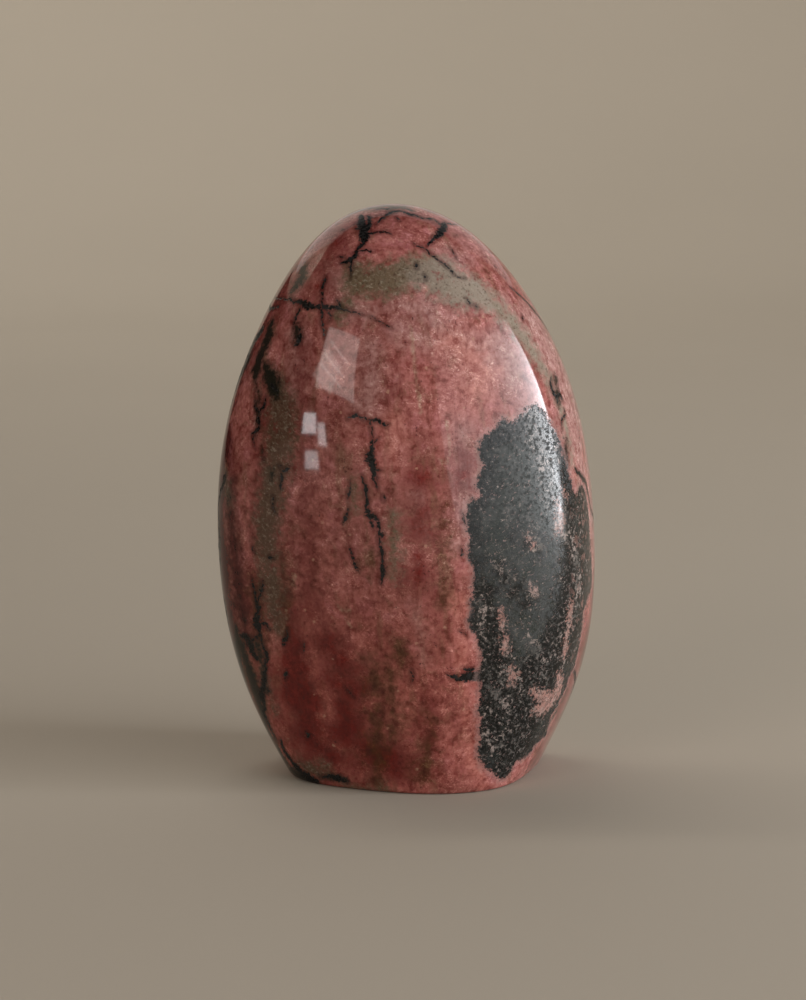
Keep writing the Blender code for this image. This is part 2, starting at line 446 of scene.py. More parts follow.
# %% Veins of the front: the middle and the right side
MIDDLE_VEINS = {
    "tee bar": [(-11.8, 17.1, 0.04), (-11, 17.7, 0.23), (-9.9, 18.1, 0.32), (-8.9, 17.3, 0.21),
        (-7.6, 16.9, 0.19), (-6.5, 16.7, 0.23), (-5.5, 16.7, 0.34), (-4.4, 16.2, 0.23), (-3.6, 15.8, 0.36),
        (-3, 16, 0.04)],
    "tee stem": [(-7, 16.7, 0.17), (-6.7, 14.8, 0.17), (-6.5, 13.1, 0.21), (-6.5, 11.6, 0.32),
        (-6.7, 10.3, 0.42), (-7, 9.5, 0.76), (-6.7, 8.2, 0.67), (-6.3, 7, 0.49), (-6.1, 5.7, 0.46),
        (-6.1, 4.2, 0.25), (-5.5, 3, 0.27), (-5.3, 2.1, 0)],
    "tee stem twig": [(-6.5, 11.6, 0.17), (-5.7, 12.4, 0.21), (-5.1, 13.3, 0)],
    "tee stem tooth": [(-6.1, 6.3, 0.32), (-5.1, 6.3, 0.25), (-4.4, 6.3, 0)],
    "tee stem hair": [(-5.7, 5.3, 0.11), (-5.3, 4.4, 0.15), (-5.7, 3.6, 0.06)],
    "tee tail": [(-8.6, 5.3, 0.06), (-8.2, 3.8, 0.27), (-7.8, 2.5, 0.42), (-8, 1.3, 0.27), (-7.6, 0, 0.38),
        (-7.6, -1.7, 0.32), (-7.2, -3, 0.67), (-6.1, -3.4, 0.59), (-5.3, -4.4, 0.36), (-5.1, -6.1, 0.32),
        (-5.1, -8, 0.25), (-4.9, -9.5, 0.25), (-4.4, -10.8, 0.42), (-4.4, -12.4, 0.32), (-4.2, -13.9, 0.38),
        (-4.2, -15.2, 0.46), (-4.6, -16.5, 0.34), (-4.6, -17.9, 0.06)],
    "tee tail loop": [(-7.2, -3.2, 0.3), (-6.7, -4.4, 0.25), (-6.3, -5.7, 0.23), (-6.1, -6.3, 0)],
    "tee tail knot": [(-5.1, -6.7, 0.21), (-4.4, -7.4, 0.46), (-4.4, -8, 0.08)],
    "upper slit": [(-11.2, 4, 0.04), (-11.2, 2.3, 0.25), (-11.6, 0.8, 0.25), (-11.6, -0.2, 0.04)],
    "middle slit": [(-11.4, -1.7, 0.06), (-11.8, -3.2, 0.32), (-12.2, -4, 0.38), (-12.7, -4.9, 0.06)],
    "lower slit": [(-11.2, -9.9, 0.04), (-10.8, -11.6, 0.23), (-10.3, -13.1, 0.27), (-9.7, -14.3, 0.3),
        (-9.1, -15.2, 0)],
    "red dot": [(-4.2, 1.1, 0.06), (-4, 0.4, 0.3), (-4, -0.2, 0.04)],
    "centre nick": [(1.7, -35.6, 0.04), (2.1, -36.9, 0.23), (1.9, -38.6, 0.04)],
    "olive dot a": [(3, 50, 0.04), (3, 49.1, 0.21)],
    "olive dot b": [(4.4, 47.5, 0.06), (4.6, 46.8, 0.25)],
    "olive dot c": [(13.5, 42.6, 0.11), (13.7, 41.8, 0.32), (14.1, 41.1, 0.04)],
    "olive dot d": [(15, 41.1, 0.06), (15.6, 40.7, 0.25)],
    "shoulder dot": [(25.1, 39, 0.06), (25.3, 38.2, 0.25)],
    "right upper fleck": [(31.4, 25.9, 0.08), (31.2, 24.5, 0.34), (31.4, 23.2, 0.32), (32.1, 22.1, 0.51),
        (32.5, 21.1, 0.38), (32.7, 19.6, 0)],
    "right upper arm": [(32.3, 21.9, 0.32), (33.1, 22.4, 0.32), (33.7, 21.1, 0.21)],
    "right middle fleck": [(34, 19.2, 0.06), (34.2, 18.1, 0.3), (33.5, 16.7, 0.23), (33.5, 14.8, 0)],
    "right lower fleck": [(34.6, 9.9, 0.08), (34.6, 8.6, 0.27), (34.8, 7.4, 0.34), (34.4, 6.3, 0.21)],
    "patch thorn": [(9.1, -36.5, 0.04), (10.1, -37.1, 0.34), (11.6, -37.5, 0.51), (13.3, -37.3, 0.63),
        (15, -37.1, 0.72), (16.5, -36.9, 0.72)],
    "patch thorn top": [(12.7, -35.4, 0.11), (13.7, -35.9, 0.38), (15, -35.6, 0.3)],
    "patch scribble": [(13.9, -21.7, 0.06), (14.8, -22.1, 0.38), (14.6, -23.4, 0.32), (14.1, -25.1, 0.17),
        (14.1, -26.8, 0.21)],
    "patch crumb a": [(12.2, -10.1, 0.08), (12.7, -11.2, 0.3), (12.4, -12, 0.06)],
    "patch crumb b": [(12.4, -2.5, 0.06), (12.9, -3.8, 0.25), (13.1, -5.1, 0.17)],
    "patch whisker": [(12, -27.4, 0.06), (12.9, -28.1, 0.15), (13.5, -28.7, 0.11)],
}
FRONT_VEINS = CROWN_VEINS | LEFT_EDGE_VEINS | MIDDLE_VEINS
print("middle and right side:", len(MIDDLE_VEINS))

# %% Veins drawn on the other sides
LEFT_VEINS = {
    "cross bar end": [(9.5, 42, 0.2), (5, 41, 0.3), (0, 42.5, 0.45), (-5, 41, 0.3), (-9, 37.5, 0)],
    "side rag": [(7, 37, 0.7), (4, 33, 1.1), (4.5, 28, 0.8), (2, 23, 1.2), (3, 17, 0.5), (1, 12, 0)],
    "side rag arm": [(4.5, 28, 0.5), (-1, 26, 0.4), (-6, 21, 0.3), (-7.5, 15, 0)],
    "side run": [(9, 4, 0.5), (5, -3, 0.4), (6, -12, 0.6), (3, -20, 0.4), (4.5, -28, 0.7), (2, -37, 0.4),
        (4, -46, 0.3), (3, -55, 0.1)],
    "side run arm": [(6, -12, 0.4), (-1, -15, 0.3), (-8, -13, 0.3), (-14, -17, 0)],
}
RIGHT_VEINS = {
    "shoulder thread": [(-8, 46, 0.1), (-3, 40, 0.3), (1, 36, 0.25), (2, 28, 0.35), (6, 22, 0)],
    "waist thread": [(-12, 6, 0.4), (-6, 2, 0.5), (-3, -5, 0.3), (3, -8, 0.4), (9, -16, 0.6), (11, -24, 0.3),
        (16, -31, 0)],
    "waist arm": [(3, -8, 0.3), (8, -4, 0.25), (14, -3, 0)],
    "foot thread": [(-9, -40, 0.3), (-3, -44, 0.4), (2, -50, 0.3), (3, -57, 0.2)],
}
BACK_VEINS = {
    "long run": [(-14, 52, 0.2), (-10, 45, 0.5), (-11, 38, 0.4), (-6, 30, 0.7), (-4, 22, 0.5), (2, 14, 0.4),
        (4, 6, 0.7), (9, -2, 0.5), (10, -10, 0.6), (15, -18, 0.3), (17, -26, 0.4), (16, -34, 0.2),
        (20, -42, 0)],
    "upper arm": [(-6, 30, 0.4), (-13, 27, 0.3), (-19, 28, 0.35), (-26, 24, 0)],
    "middle arm": [(4, 6, 0.4), (-3, 2, 0.3), (-8, -3, 0.5), (-16, -4, 0.3), (-24, -9, 0.3), (-30, -10, 0)],
    "lower arm": [(10, -10, 0.4), (18, -8, 0.3), (25, -12, 0.3), (31, -11, 0)],
    "foot fork": [(-12, -56, 0.3), (-10, -48, 0.5), (-14, -40, 0.3), (-11, -33, 0)],
    "foot fork arm": [(-10, -48, 0.3), (-4, -44, 0.25), (0, -39, 0)],
    "crown spur": [(-14, 52, 0.3), (-5, 55, 0.3), (2, 53, 0.2), (7, 55, 0)],
}
VEINS = {"front": FRONT_VEINS, "left": LEFT_VEINS, "right": RIGHT_VEINS, "back": BACK_VEINS}
vein_lines = Lines([(pane, drawn) for pane, veins in VEINS.items() for drawn in veins.values()])
print("all veins are", len(vein_lines.start), "short pieces")

# %% [markdown]
# A hairline is thinner than one cell of the grid. A plain distance, stored on the vertices, would
# be blurred away between them. So each face looks up its nearest piece of vein, and its corners
# store their signed offset across that piece: left is positive, right is negative. The offset
# passes through zero inside the face, exactly on the line, however fine the line is.

# %% Vein offsets on the face corners
# Past a vein's end its half width shrinks by this much for each mm.
END_TAPER = 1.0
# A length is never taken to be less than this, so that nothing is divided by zero.
LEAST = 1e-9

corner_vertex = np.concatenate([faces.ravel() for faces in skin_faces])
face_sides = np.concatenate([np.full(len(faces), faces.shape[1]) for faces in skin_faces])
corner_face = np.repeat(np.arange(len(face_sides)), face_sides)
face_middle = np.concatenate([skin_mm[faces].mean(axis=1) for faces in skin_faces])
first, second, third = (
    np.concatenate([skin_mm[faces[:, i]] for faces in skin_faces]) for i in range(3)
)
face_out = np.cross(second - first, third - second)

piece = vein_lines.nearest(face_middle)[0][corner_face]
run = vein_lines.run[piece]
across = np.cross(face_out[corner_face], run)
across /= np.maximum(np.linalg.norm(across, axis=1), LEAST)[:, None]
from_start = skin_mm[corner_vertex] - vein_lines.start[piece]
along = (from_start * run).sum(axis=1) / vein_lines.length[piece] ** 2
on_piece = np.clip(along, 0, 1)
past_end = np.abs(along - on_piece) * vein_lines.length[piece]
half_width = vein_lines.start_width[piece] + on_piece * vein_lines.width_gain[piece]
store("vein_offset", (from_start * across).sum(axis=1), "CORNER")
store("vein_half_width", half_width - END_TAPER * past_end, "CORNER")
store("vein_gap", vein_lines.nearest(skin_mm)[1])
print("vein corners:", len(corner_vertex))

# %% [markdown]
# ## The black patches
# Manganese oxide soaked into the rock in places and turned it charcoal. Such a patch has a drawn
# outline. For each vertex we need the distance to that outline, measured over the surface, so the
# stone's skin is unwrapped: the angle round the stone becomes a width, and the height stays.
# The distance is negative inside. The material adds the ragged, grain-sized edge later.

# %% Patch outlines
FRONT_PATCH = [
    (21.1, 17.3), (20, 16.2), (19, 14.6), (17.5, 13.7), (16.2, 12.7), (15.8, 11), (16.2, 8.9), (17.3, 7.4),
    (16.5, 6.1), (15.6, 4.4), (15.4, 2.7), (16.5, 1.3), (15.8, 0.2), (14.3, 0), (13.5, -1.1), (13.5, -3),
    (13.7, -4.9), (13.3, -6.5), (14.3, -7.8), (13.5, -9.7), (13.7, -11.8), (14.6, -13.7), (15, -15.8),
    (14.6, -17.7), (15, -19.8), (14.3, -21.5), (14.8, -23.4), (13.9, -25.3), (14.3, -27.2), (15.6, -28.9),
    (16.2, -31), (16.7, -33.3), (16.2, -35.2), (15.8, -37.1), (16.5, -38.8), (16, -40.5), (16.5, -42.2),
    (15.6, -44.3), (16.5, -46.2), (16.2, -48.5), (16.2, -50.8), (15.6, -53.2), (16.2, -55.1), (17.3, -56.5),
    (19, -57.6), (20.5, -59.1), (21.9, -58.4), (23, -56.7), (23.8, -55.3), (25.5, -54.4), (27, -53.2),
    (27.6, -51.9), (28.9, -50.6), (30.2, -49.6), (30.6, -47.7), (31.2, -45.6), (32.5, -43.5), (33.5, -41.3),
    (34.4, -39.4), (35, -37.1), (36.1, -35.4), (36.7, -32.7), (37.3, -29.5), (37.8, -26.4), (38, -23.6),
    (38.8, -21.1), (39.8, -18.1), (39.8, -14.8), (39.5, -9), (39.2, -4.5), (38.8, 0), (37.9, 2.9), (37.3, 3),
    (36.8, 2), (36.3, 1.4), (35.8, 2.2), (35.6, 3.6), (35, 5.5), (34.2, 8), (33.4, 10.5), (32.6, 13.5),
    (31.2, 16), (29.8, 18.4), (28.2, 20), (26.4, 19.6), (25.2, 18.2), (24, 17.4), (23.2, 16),
]
BACK_PATCH = [
    (15.2, 38.6), (16.4, 37.2), (17.9, 37.6), (19.2, 36.1), (21.1, 36.4), (22.6, 34.5), (24.3, 34.1),
    (25.2, 32.2), (27.3, 31.4), (28, 29.3), (29.4, 28.2), (29.1, 26.1), (30.6, 24), (31.9, 22.4),
    (31.4, 20.1), (32.3, 18), (31.2, 15.8), (31.8, 13.6), (30.9, 11.3), (29.6, 9.8), (29.9, 7.9), (28.1, 6.4),
    (26.3, 7), (25, 5.2), (23.4, 5.6), (22.2, 4), (20.7, 5.3), (20.9, 7.4), (19.3, 8.8), (19.7, 11.2),
    (18, 12.6), (17.7, 15), (16.1, 16.2), (16.6, 18.7), (15, 20.3), (15.5, 22.6), (13.9, 24.4), (14.6, 26.9),
    (13.2, 28.8), (13.9, 31.2), (12.6, 33), (13.4, 35.2), (14.1, 36.8),
]
BACK_FOOT_PATCH = [
    (-24.6, -22.8), (-22.9, -21.4), (-21.2, -21.8), (-19.8, -20.6), (-18.3, -22.1), (-18, -24),
    (-16.1, -24.9), (-14.4, -26.2), (-12.6, -26.4), (-12.1, -28.5), (-13, -30.4), (-11.6, -32.1),
    (-10.4, -33.8), (-8.9, -34.6), (-9.2, -36.9), (-10.5, -38.4), (-11.3, -40.2), (-13.2, -39.7),
    (-14.9, -40.6), (-16.6, -40.1), (-17.4, -42), (-18.9, -43.6), (-20.6, -43), (-22.4, -43.9),
    (-23.7, -42.3), (-23.1, -40), (-24.3, -38.2), (-23.6, -36.1), (-25.1, -34.6), (-25.9, -32.6),
    (-24.8, -30.8), (-25.4, -28.8), (-23.9, -27.3), (-24.9, -25.2),
]
PATCHES = (("front", FRONT_PATCH), ("back", BACK_PATCH), ("back", BACK_FOOT_PATCH))
print("outline points:", [len(drawn) for _, drawn in PATCHES])

# %% Distance from the patches' outlines
MEAN_RADIUS = 33.0


def unwrapped(places, zero_turn):
    """(distance round the stone from a zero direction, height), in mm, about its leaning axis."""
    rise = places[:, 2] - CENTRE_HEIGHT / MM
    axis_x = LEAN * rise + BOW / MM * (rise * MM / BOW_RISE) ** 2 + AIM[0] / MM
    turn = np.arctan2(places[:, 0] - axis_x, -places[:, 1]) - zero_turn
    turn = (turn + np.pi) % (2 * np.pi) - np.pi
    return np.stack([turn * MEAN_RADIUS, places[:, 2]], axis=-1)


def outline_distance(places, start):
    """Signed distance from flat points to a closed outline, negative inside it.

    The distance is to the nearest edge. The sign comes from counting the edges that a line
    running off to the right would cross.
    """
    run = np.roll(start, -1, axis=0) - start
    offset = places[:, None, :] - start
    share = np.clip((offset * run).sum(-1) / np.maximum((run**2).sum(-1), LEAST), 0, 1)
    gap = np.linalg.norm(offset - share[..., None] * run, axis=-1).min(axis=1)
    level = places[:, None, 1]
    straddles = (start[:, 1] > level) != (start[:, 1] + run[:, 1] > level)
    rise = np.where(np.abs(run[:, 1]) < LEAST, LEAST, run[:, 1])
    crossing = start[:, 0] + run[:, 0] * (level - start[:, 1]) / rise
    inside = (straddles & (places[:, None, 0] < crossing)).sum(axis=1) % 2 == 1
    return np.where(inside, -gap, gap)


def patch_distance(pane, drawn):
    """Each vertex's signed distance from one drawn patch, in mm over the unwrapped skin."""
    outline = on_stone(pane, drawn)
    middle = outline.mean(axis=0)
    zero_turn = math.atan2(middle[0], -middle[1])
    return outline_distance(unwrapped(skin_mm, zero_turn), unwrapped(outline, zero_turn))


patch_edge = np.min([patch_distance(pane, drawn) for pane, drawn in PATCHES], axis=0)
store("patch_edge", patch_edge)
print("share of the skin that is black, %:", round(float((patch_edge < 0).mean() * 100), 1))

# %% [markdown]
# ## Bands and stains
# The pink isn't even. Broad zones are redder, paler or browner, and olive-grey bands of another
# mineral cross them. A zone is a drawn line too, but as wide as a brush: its half width says how
# far it reaches, and below zero it never quite reaches full strength. Each zone is stored as one
# distance from its edge, and the material decides how soft and how ragged that edge is.

# %% A way to store zones
FARTHEST = 15.0


def store_zones(zones):
    """Stores each zone's distance from its edge, from its strokes on each side's pane."""
    for zone, sides in zones.items():
        strokes = [(pane, stroke) for pane, drawn in sides.items() for stroke in drawn]
        edge_gap = Lines(strokes).nearest(skin_mm)[1]
        store(f"{zone}_edge", np.minimum(edge_gap, FARTHEST))
        print(f"{zone}: {len(strokes)} strokes, {float((edge_gap < 0).mean() * 100):.1f} % of the skin")


print("zones reach at most", FARTHEST, "mm past their edge")

# %% Olive bands and soot
BANDS = {
    "olive": {
        "front": [
            [(-10.3, 48.9, 1.7), (-9.5, 46.2, 3.4), (-7, 46.4, 3.8), (-3.8, 46.6, 3.8), (-0.6, 47.5, 3.6),
             (2.5, 47.9, 3.8), (5.7, 48.5, 4), (8.9, 46.4, 4.6), (12, 44.7, 4.2), (15.2, 44.1, 3.6),
             (17.9, 42.4, 2.7), (20.5, 39.9, 2.1), (22.8, 37.5, 1.9), (25.1, 35, 1.9), (28.9, 29.3, 1.5),
             (30.6, 25.7, 1.1), (32.3, 21.9, 0.8), (33.7, 17.9, 0.6), (35, 12.7, 0.6), (35.9, 7.4, 0.4)],
            [(-11.4, 42.2, 1.3), (-12.9, 40.1, 1.5), (-13.5, 37.5, 0.8)],
            [(-27.6, 27, 0.8), (-26.8, 23.8, 2.1), (-25.7, 20.7, 3.4), (-25.5, 16.9, 3.8), (-25.7, 12.7, 3.8),
             (-26.4, 8.4, 3.8), (-27.2, 4.2, 3.2), (-28, 0, 3.2), (-28.7, -4.2, 3.2), (-28.9, -8.4, 3),
             (-28.7, -11.8, 2.5), (-28.3, -15.8, 2.3), (-27.6, -20, 2.3), (-27, -24.3, 1.9),
             (-26.8, -27.4, 1.1)],
            [(-37.5, 5.5, 0.8), (-37.3, 2.7, 1.3), (-36.7, 0, 0.8)],
            [(-21.7, -55.5, 1.1), (-19.2, -56.7, 1.5), (-16.2, -56.7, 0.8)],
            [(-12.2, -60.3, 0.6), (-9.1, -61, 0.6), (-3.8, -61.2, 0.4)],
            [(-29.7, -35.4, 0.4), (-28.5, -40.1, 0.6), (-27, -44.7, 0.6)],
            [(-2.3, -3.2, 0.6), (-2.1, -7.4, 1.1), (-1.9, -11.6, 1.1), (-2.1, -16.2, 0.6)],
            [(-10.1, 4.6, 0.3), (-10.3, 1.7, 0.5), (-9.9, -1.7, 0.6)],
        ],
        "back": [
            [(30, 24, 1.5), (20, 40, 2.5), (6, 46, 4.5), (-8, 40, 5), (-20, 30, 3.5), (-30, 14, 2),
             (-36, 2, 1)],
            [(24, -14, 2), (21, -28, 3), (22, -44, 2)],
        ],
        "right": [[(6, 30, 1.5), (9, 12, 2.5), (8, -8, 2), (12, -26, 1)]],
        "left": [[(-4, 30, 2), (-8, 8, 3), (-6, -18, 2.2), (-10, -40, 1.2)]],
    },
    "soot": {
        "front": [
            [(-21.1, 48.9, 1.1), (-21.3, 46.6, 1.3), (-22.6, 45.1, 1.1), (-23.4, 44.1, 0.6)],
            [(-22.4, 36.3, 0.6), (-22.4, 34.4, 0.8)],
            [(-27.8, 37.5, 0.8), (-28.3, 35, 1.5), (-29.1, 32.5, 1.5)],
            [(-29.1, 32.5, 1.3), (-30.2, 30.2, 1.7), (-30.8, 27.8, 1.7), (-31, 25.7, 0.8)],
            [(-29.1, 28.3, 1.1), (-27.8, 25.3, 1.9), (-27, 23.2, 1.5), (-26.4, 21.3, 0.4)],
            [(-31, 24.5, 0.4), (-30.4, 21.9, 0.6), (-30.8, 19, 0.4), (-30.6, 16, 0.6), (-31.2, 13.5, 0.2)],
            [(-27.6, 6.3, 0.4), (-27.8, 3.8, 0.2)],
            [(-36.7, 0.8, 0.4), (-36.9, -0.4, 0.2)],
            [(-35.2, -27.4, 0.8), (-33.7, -32.1, 1.3), (-32.3, -36.3, 1.5), (-30.8, -41.1, 1.5),
             (-29.5, -45.3, 1.3), (-28.5, -49.6, 1.1)],
            [(-30.4, -30.8, 0.8), (-29.7, -35.4, 0.6), (-29.3, -40.1, 0.6)],
            [(32.3, 25.7, 0.6), (32.5, 22.8, 0.6), (33.1, 20.2, 0.4)],
            [(34.4, 12.7, 0.4), (34.4, 9.3, 0.6), (33.7, 7.2, 0.4)],
            [(-28.9, -49.8, 0.8), (-26.8, -53.4, 1.3), (-24, -56.7, 1.3), (-20.9, -59.1, 1.3),
             (-17.1, -60.7, 0.6)],
            [(-10.8, 60.5, 0.2), (-7.8, 61.4, 0.6), (-3.8, 62, 0.6), (-0.2, 61.8, 0.5), (1.9, 61, 0.2)],
            [(-17.1, -58.4, 0.4), (-14.1, -58.4, 0.6), (-11.6, -59.1, 0.3)],
            [(34.6, -40.1, 0.3), (33.7, -42.2, 0.2)],
            [(32.3, -44.7, 0.3), (31, -46.8, 0.3)],
            [(29.1, -49.6, 0.3), (27.8, -51.5, 0.2)],
            [(-12.9, 56.9, -0.3), (-6.5, 59.7, -0.3), (0.4, 60.7, -0.3), (7.8, 58.6, -0.3)],
        ],
        "left": [
            [(6, 30, 1.5), (2, 24, 2), (3, 16, 1)],
            [(8, -34, 1.5), (4, -44, 2.5), (6, -52, 1)],
        ],
        "right": [[(8, 20, 0.8), (9, 11, 1.5), (7, 5, 0.6)]],
        "back": [
            [(-20, 20, 1.2), (-22, 10, 2), (-19, 2, 0.8)],
            [(3, -57, 1.4), (12, -58, 0.8)],
        ],
    },
}
store_zones(BANDS)

# %% Reds and browns
REDS = {
    "heart_red": {
        "front": [
            [(3.2, 6.3, 0.4), (3.6, -4.2, 1.1), (3.6, -12.7, 0.8), (2.5, -19, 0.2)],
            [(-24.7, -23.2, 1.1), (-23.6, -29.5, 2.7), (-22.1, -40.1, 5.3), (-19.2, -49.6, 5.3),
             (-14.3, -55.7, 3)],
            [(-15, -31.6, 1.7), (-11.2, -40.1, 3.2), (-12, -50.6, 3.2), (-1.7, -55.7, 1.7)],
            [(-14.8, 55.3, 1.1), (-16.2, 50.2, 1.3), (-17.1, 45.6, 1.1)],
            [(13.3, 9.5, 1.1), (12.4, 4.2, 1.3)],
        ],
        "back": [[(-8, 12, 5), (-12, -12, 8), (-2, -30, 6)]],
        "left": [[(-2, 48, 5), (-10, 26, 4)]],
        "right": [[(4, -30, 7), (2, -50, 4)]],
    },
    "maroon": {
        "front": [
            [(-36.3, 7.4, 0.8), (-36.3, 0, 1.5), (-36.1, -6.3, 2.1), (-35.4, -13.7, 2.7), (-34.4, -21.1, 3),
             (-33.1, -28.5, 2.3)],
            [(-20.5, -40.1, 1.5), (-22.4, -43.4, 1.1)],
            [(-20, -49.6, 1.1), (-16.5, -53.1, 0.6), (-15.4, -54.8, 0.4)],
        ],
        "left": [[(4, 10, 6), (2, -30, 8)]],
        "back": [[(26, -30, 7), (10, -50, 5)]],
    },
    # Rose is partly the stone's own deeper red and partly painted shade: down the left side, along the foot
    # and on the crown.
    "rose": {
        "front": [
            [(-21.7, 35.9, 1.5), (-21.7, 21.1, 2.1), (-20.7, 6.3, 2.1), (-19.6, -8.4, 2.5),
             (-19.2, -21.1, 3.4)],
            [(-15.4, -29.5, 3.8), (-11.2, -40.1, 3.8), (-11.2, -50.6, 3.8), (-0.6, -55.9, 3),
             (7.8, -57.4, 1.7)],
            [(-10.8, 56.5, 1.5), (-6.5, 57.8, 1.1)],
            [(-28, 21.1, 1.7), (-29.7, 6.3, 1.7), (-31.2, -8.4, 1.7), (-31.2, -21.1, 2.1)],
            [(5.3, -40.1, 1.7), (5.7, -50.6, 2.1)],
            [(37.3, -32.7, 1.3), (34.8, -40.5, 1.5), (31.6, -47.9, 1.5), (27.8, -54.2, 1.3)],
            [(-34.6, 14.8, -0.6), (-34, 5.3, -0.4), (-33.7, -4.2, -0.6)],
            [(-6.5, 57.4, -0.4), (0.4, 57.6, 0), (7, 55.3, -0.6)],
            [(8.2, -42.2, -0.8), (11.2, -48.5, -0.4), (12.4, -55.3, -0.8)],
            [(-20.5, 50.2, -0.6), (-17.1, 48.1, -0.2), (-13.7, 45.6, -0.8)],
        ],
        "back": [[(22, 40, 5), (28, 10, 6), (20, -20, 5)]],
        "left": [[(6, 44, 6), (-6, 0, 8), (-4, -50, 6)]],
        "right": [[(8, 10, 5), (10, -40, 6)]],
    },
    "brown": {
        "front": [
            [(-1.1, -29.5, 0.6), (-0.4, -31.6, 1.1), (-0.6, -34.2, 0.8)],
            [(-7, -33.7, 1.1), (-5.9, -38, 1.5), (-5.3, -42.2, 1.9), (-4.9, -46.4, 2.1), (-5.3, -51.7, 1.9),
             (-5.7, -55.9, 1.7), (-5.9, -60.1, 1.3)],
            [(-2.7, -34.8, 0.8), (-2.3, -40.1, 1.1), (-2.1, -44.3, 1.3), (-2.3, -50.6, 0.8)],
            [(5.7, -45.3, 0.6), (6.1, -49.6, 0.8), (5.3, -53.8, 1.1), (4.6, -58, 1.5)],
            [(-25.1, -12.7, 1.3), (-25.1, -21.1, 1.7), (-24.9, -26.4, 1.3)],
            [(-6.5, -11.6, 1.1), (-7, -14.8, 1.1)],
            [(8.4, -2.1, 0.4), (8.6, -10.5, 0.8), (8.2, -21.1, 0.6)],
            [(-31, -17.9, 1.3), (-31, -25.3, 1.7), (-29.7, -31.6, 1.5)],
            [(-35.2, -29.5, 1.7), (-33.5, -34.8, 2.1), (-31.8, -40.1, 2.3), (-29.9, -45.3, 2.1),
             (-28.3, -50.2, 1.9), (-25.9, -54.2, 1.7), (-22.6, -57.6, 1.5), (-18.8, -59.9, 1.3)],
            [(38.6, -29.5, 0.6), (37.1, -36.3, 0.8), (34.4, -43.4, 0.8), (30.8, -50.8, 0.8),
             (26.8, -56.5, 0.6)],
            [(-5.3, 61, 0.4), (1.5, 62, 0.5), (8.6, 60.3, 0.4)],
        ],
        "back": [[(4, -18, 0.8), (5, -36, 2), (4, -54, 1)]],
        "left": [[(-3, -20, 1.5), (-2, -36, 2.5), (-5, -52, 1)]],
    },
}
store_zones(REDS)

# %% Pale zones
PALES = {
    "salmon": {
        "front": [
            [(12.4, -21.1, 0.6), (12.9, -29.5, 1.1), (13.3, -42.2, 0.4), (14.1, -54.8, 0.8),
             (17.1, -59.9, 1.1)],
            [(-17.9, 0, 0.2), (-17.5, -8.4, 0.6), (-17.1, -16.9, 0.2)],
            [(-1.7, 15.8, 2.1), (-2.3, 9.5, 1.1)],
            [(11, 32.7, 2.5), (16.2, 26.4, 3.4), (14.1, 21.1, 1.7)],
            [(20.5, 54.8, 0.6), (24.7, 47.5, 1.7), (28.9, 40.1, 1.7), (33.1, 31.6, 1.3)],
            [(38, 12.7, 1.1), (39.2, 0, 0.8), (39.9, -12.7, 0.8), (39.4, -25.3, 1.1)],
        ],
        "right": [[(10, 30, 5), (12, 0, 5), (9, -24, 5)]],
        "back": [[(2, 26, 6), (10, -24, 5), (-26, 6, 4)]],
    },
    # Blush is partly the stone's own pale, greyer pink and partly a painted veil of sheen, on the upper right
    # near the long highlight.
    "blush": {
        "front": [
            [(7.8, 36.9, 2.1), (12.4, 32.7, 3.4), (17.3, 28.5, 3.8), (20.5, 32.7, 3), (23, 24.3, 1.9)],
            [(-0.6, 35.9, 1.7), (5.7, 33.7, 1.7)],
            [(-0.6, 41.1, 1.7), (5.7, 40.5, 2.1)],
            [(21.5, 42.2, 1.7), (27.8, 32.7, 1.7)],
            [(12.7, 14.8, 1.1), (13.1, 4.2, 1.3), (12.4, -8.4, 1.1)],
            [(26.8, 42.2, 1.5), (30.6, 35.9, 1.9), (33.1, 29.5, 1.7), (35, 21.1, 1.5), (36.3, 12.7, 1.3)],
            [(-22.1, 34.8, 1.5), (-22.4, 28.5, 1.7), (-22.1, 22.1, 1.5)],
            [(-7.4, 32.7, 1.5), (-6.5, 26.4, 1.7), (-7.8, 20, 1.7)],
            [(-15.4, 48.9, 1.3), (-12.2, 42.2, 1.7), (-8.6, 39.6, 1.7)],
            [(30.2, 31.2, 1.3), (32.3, 22.8, 1.5), (33.5, 14.8, 1.5), (34.8, 6.7, 1.3)],
            [(9.1, 52.7, 1.1), (12.7, 51, 1.5)],
            [(-28.5, -28.3, 0.4), (-27, -29.7, 0.8), (-25.5, -27.8, 0.4)],
            [(0.2, -17.9, -1.3), (3.6, -27.4, -0.8), (4.4, -34.8, -1.3)],
            [(3.2, 1.1, -1.3), (5.3, -9.5, -1.1)],
        ],
        "back": [[(-2, 52, 5), (16, -4, 4), (-20, -52, 4)]],
        "right": [[(-8, 38, 5), (-6, 22, 7), (-5, 4, 7), (-6, -12, 5)]],
    },
    "thread": {
        "front": [
            [(1.7, 36.9, 0.1), (2.1, 32.7, 0.2), (2.5, 27.4, 0.2), (3, 24.3, 0.2), (3.6, 20, 0.2),
             (3.8, 17.9, 0.1)],
            [(9.1, 16.9, 0.1), (9.7, 13.1, 0.1), (9.9, 10.5, 0.1), (9.3, 7.8, 0.1), (7.4, 8.6, 0.1)],
            [(-23.6, -15, 0.1), (-22.6, -16, 0.2), (-23.4, -17.3, 0.1), (-22.4, -19, 0.1)],
            [(-14.1, -21.9, 0.1), (-12.9, -23.2, 0.2), (-11.2, -23.4, 0.2)],
            [(-24.5, -23.6, 0.1), (-24.9, -25.7, 0.1), (-25.5, -28.7, 0.1)],
            [(-12, -25.5, 0.1), (-10.8, -27, 0.2)],
        ],
        "back": [[(-24, 40, 0.15), (-20, 30, 0.2), (-22, 20, 0.1)]],
    },
}
store_zones(PALES)

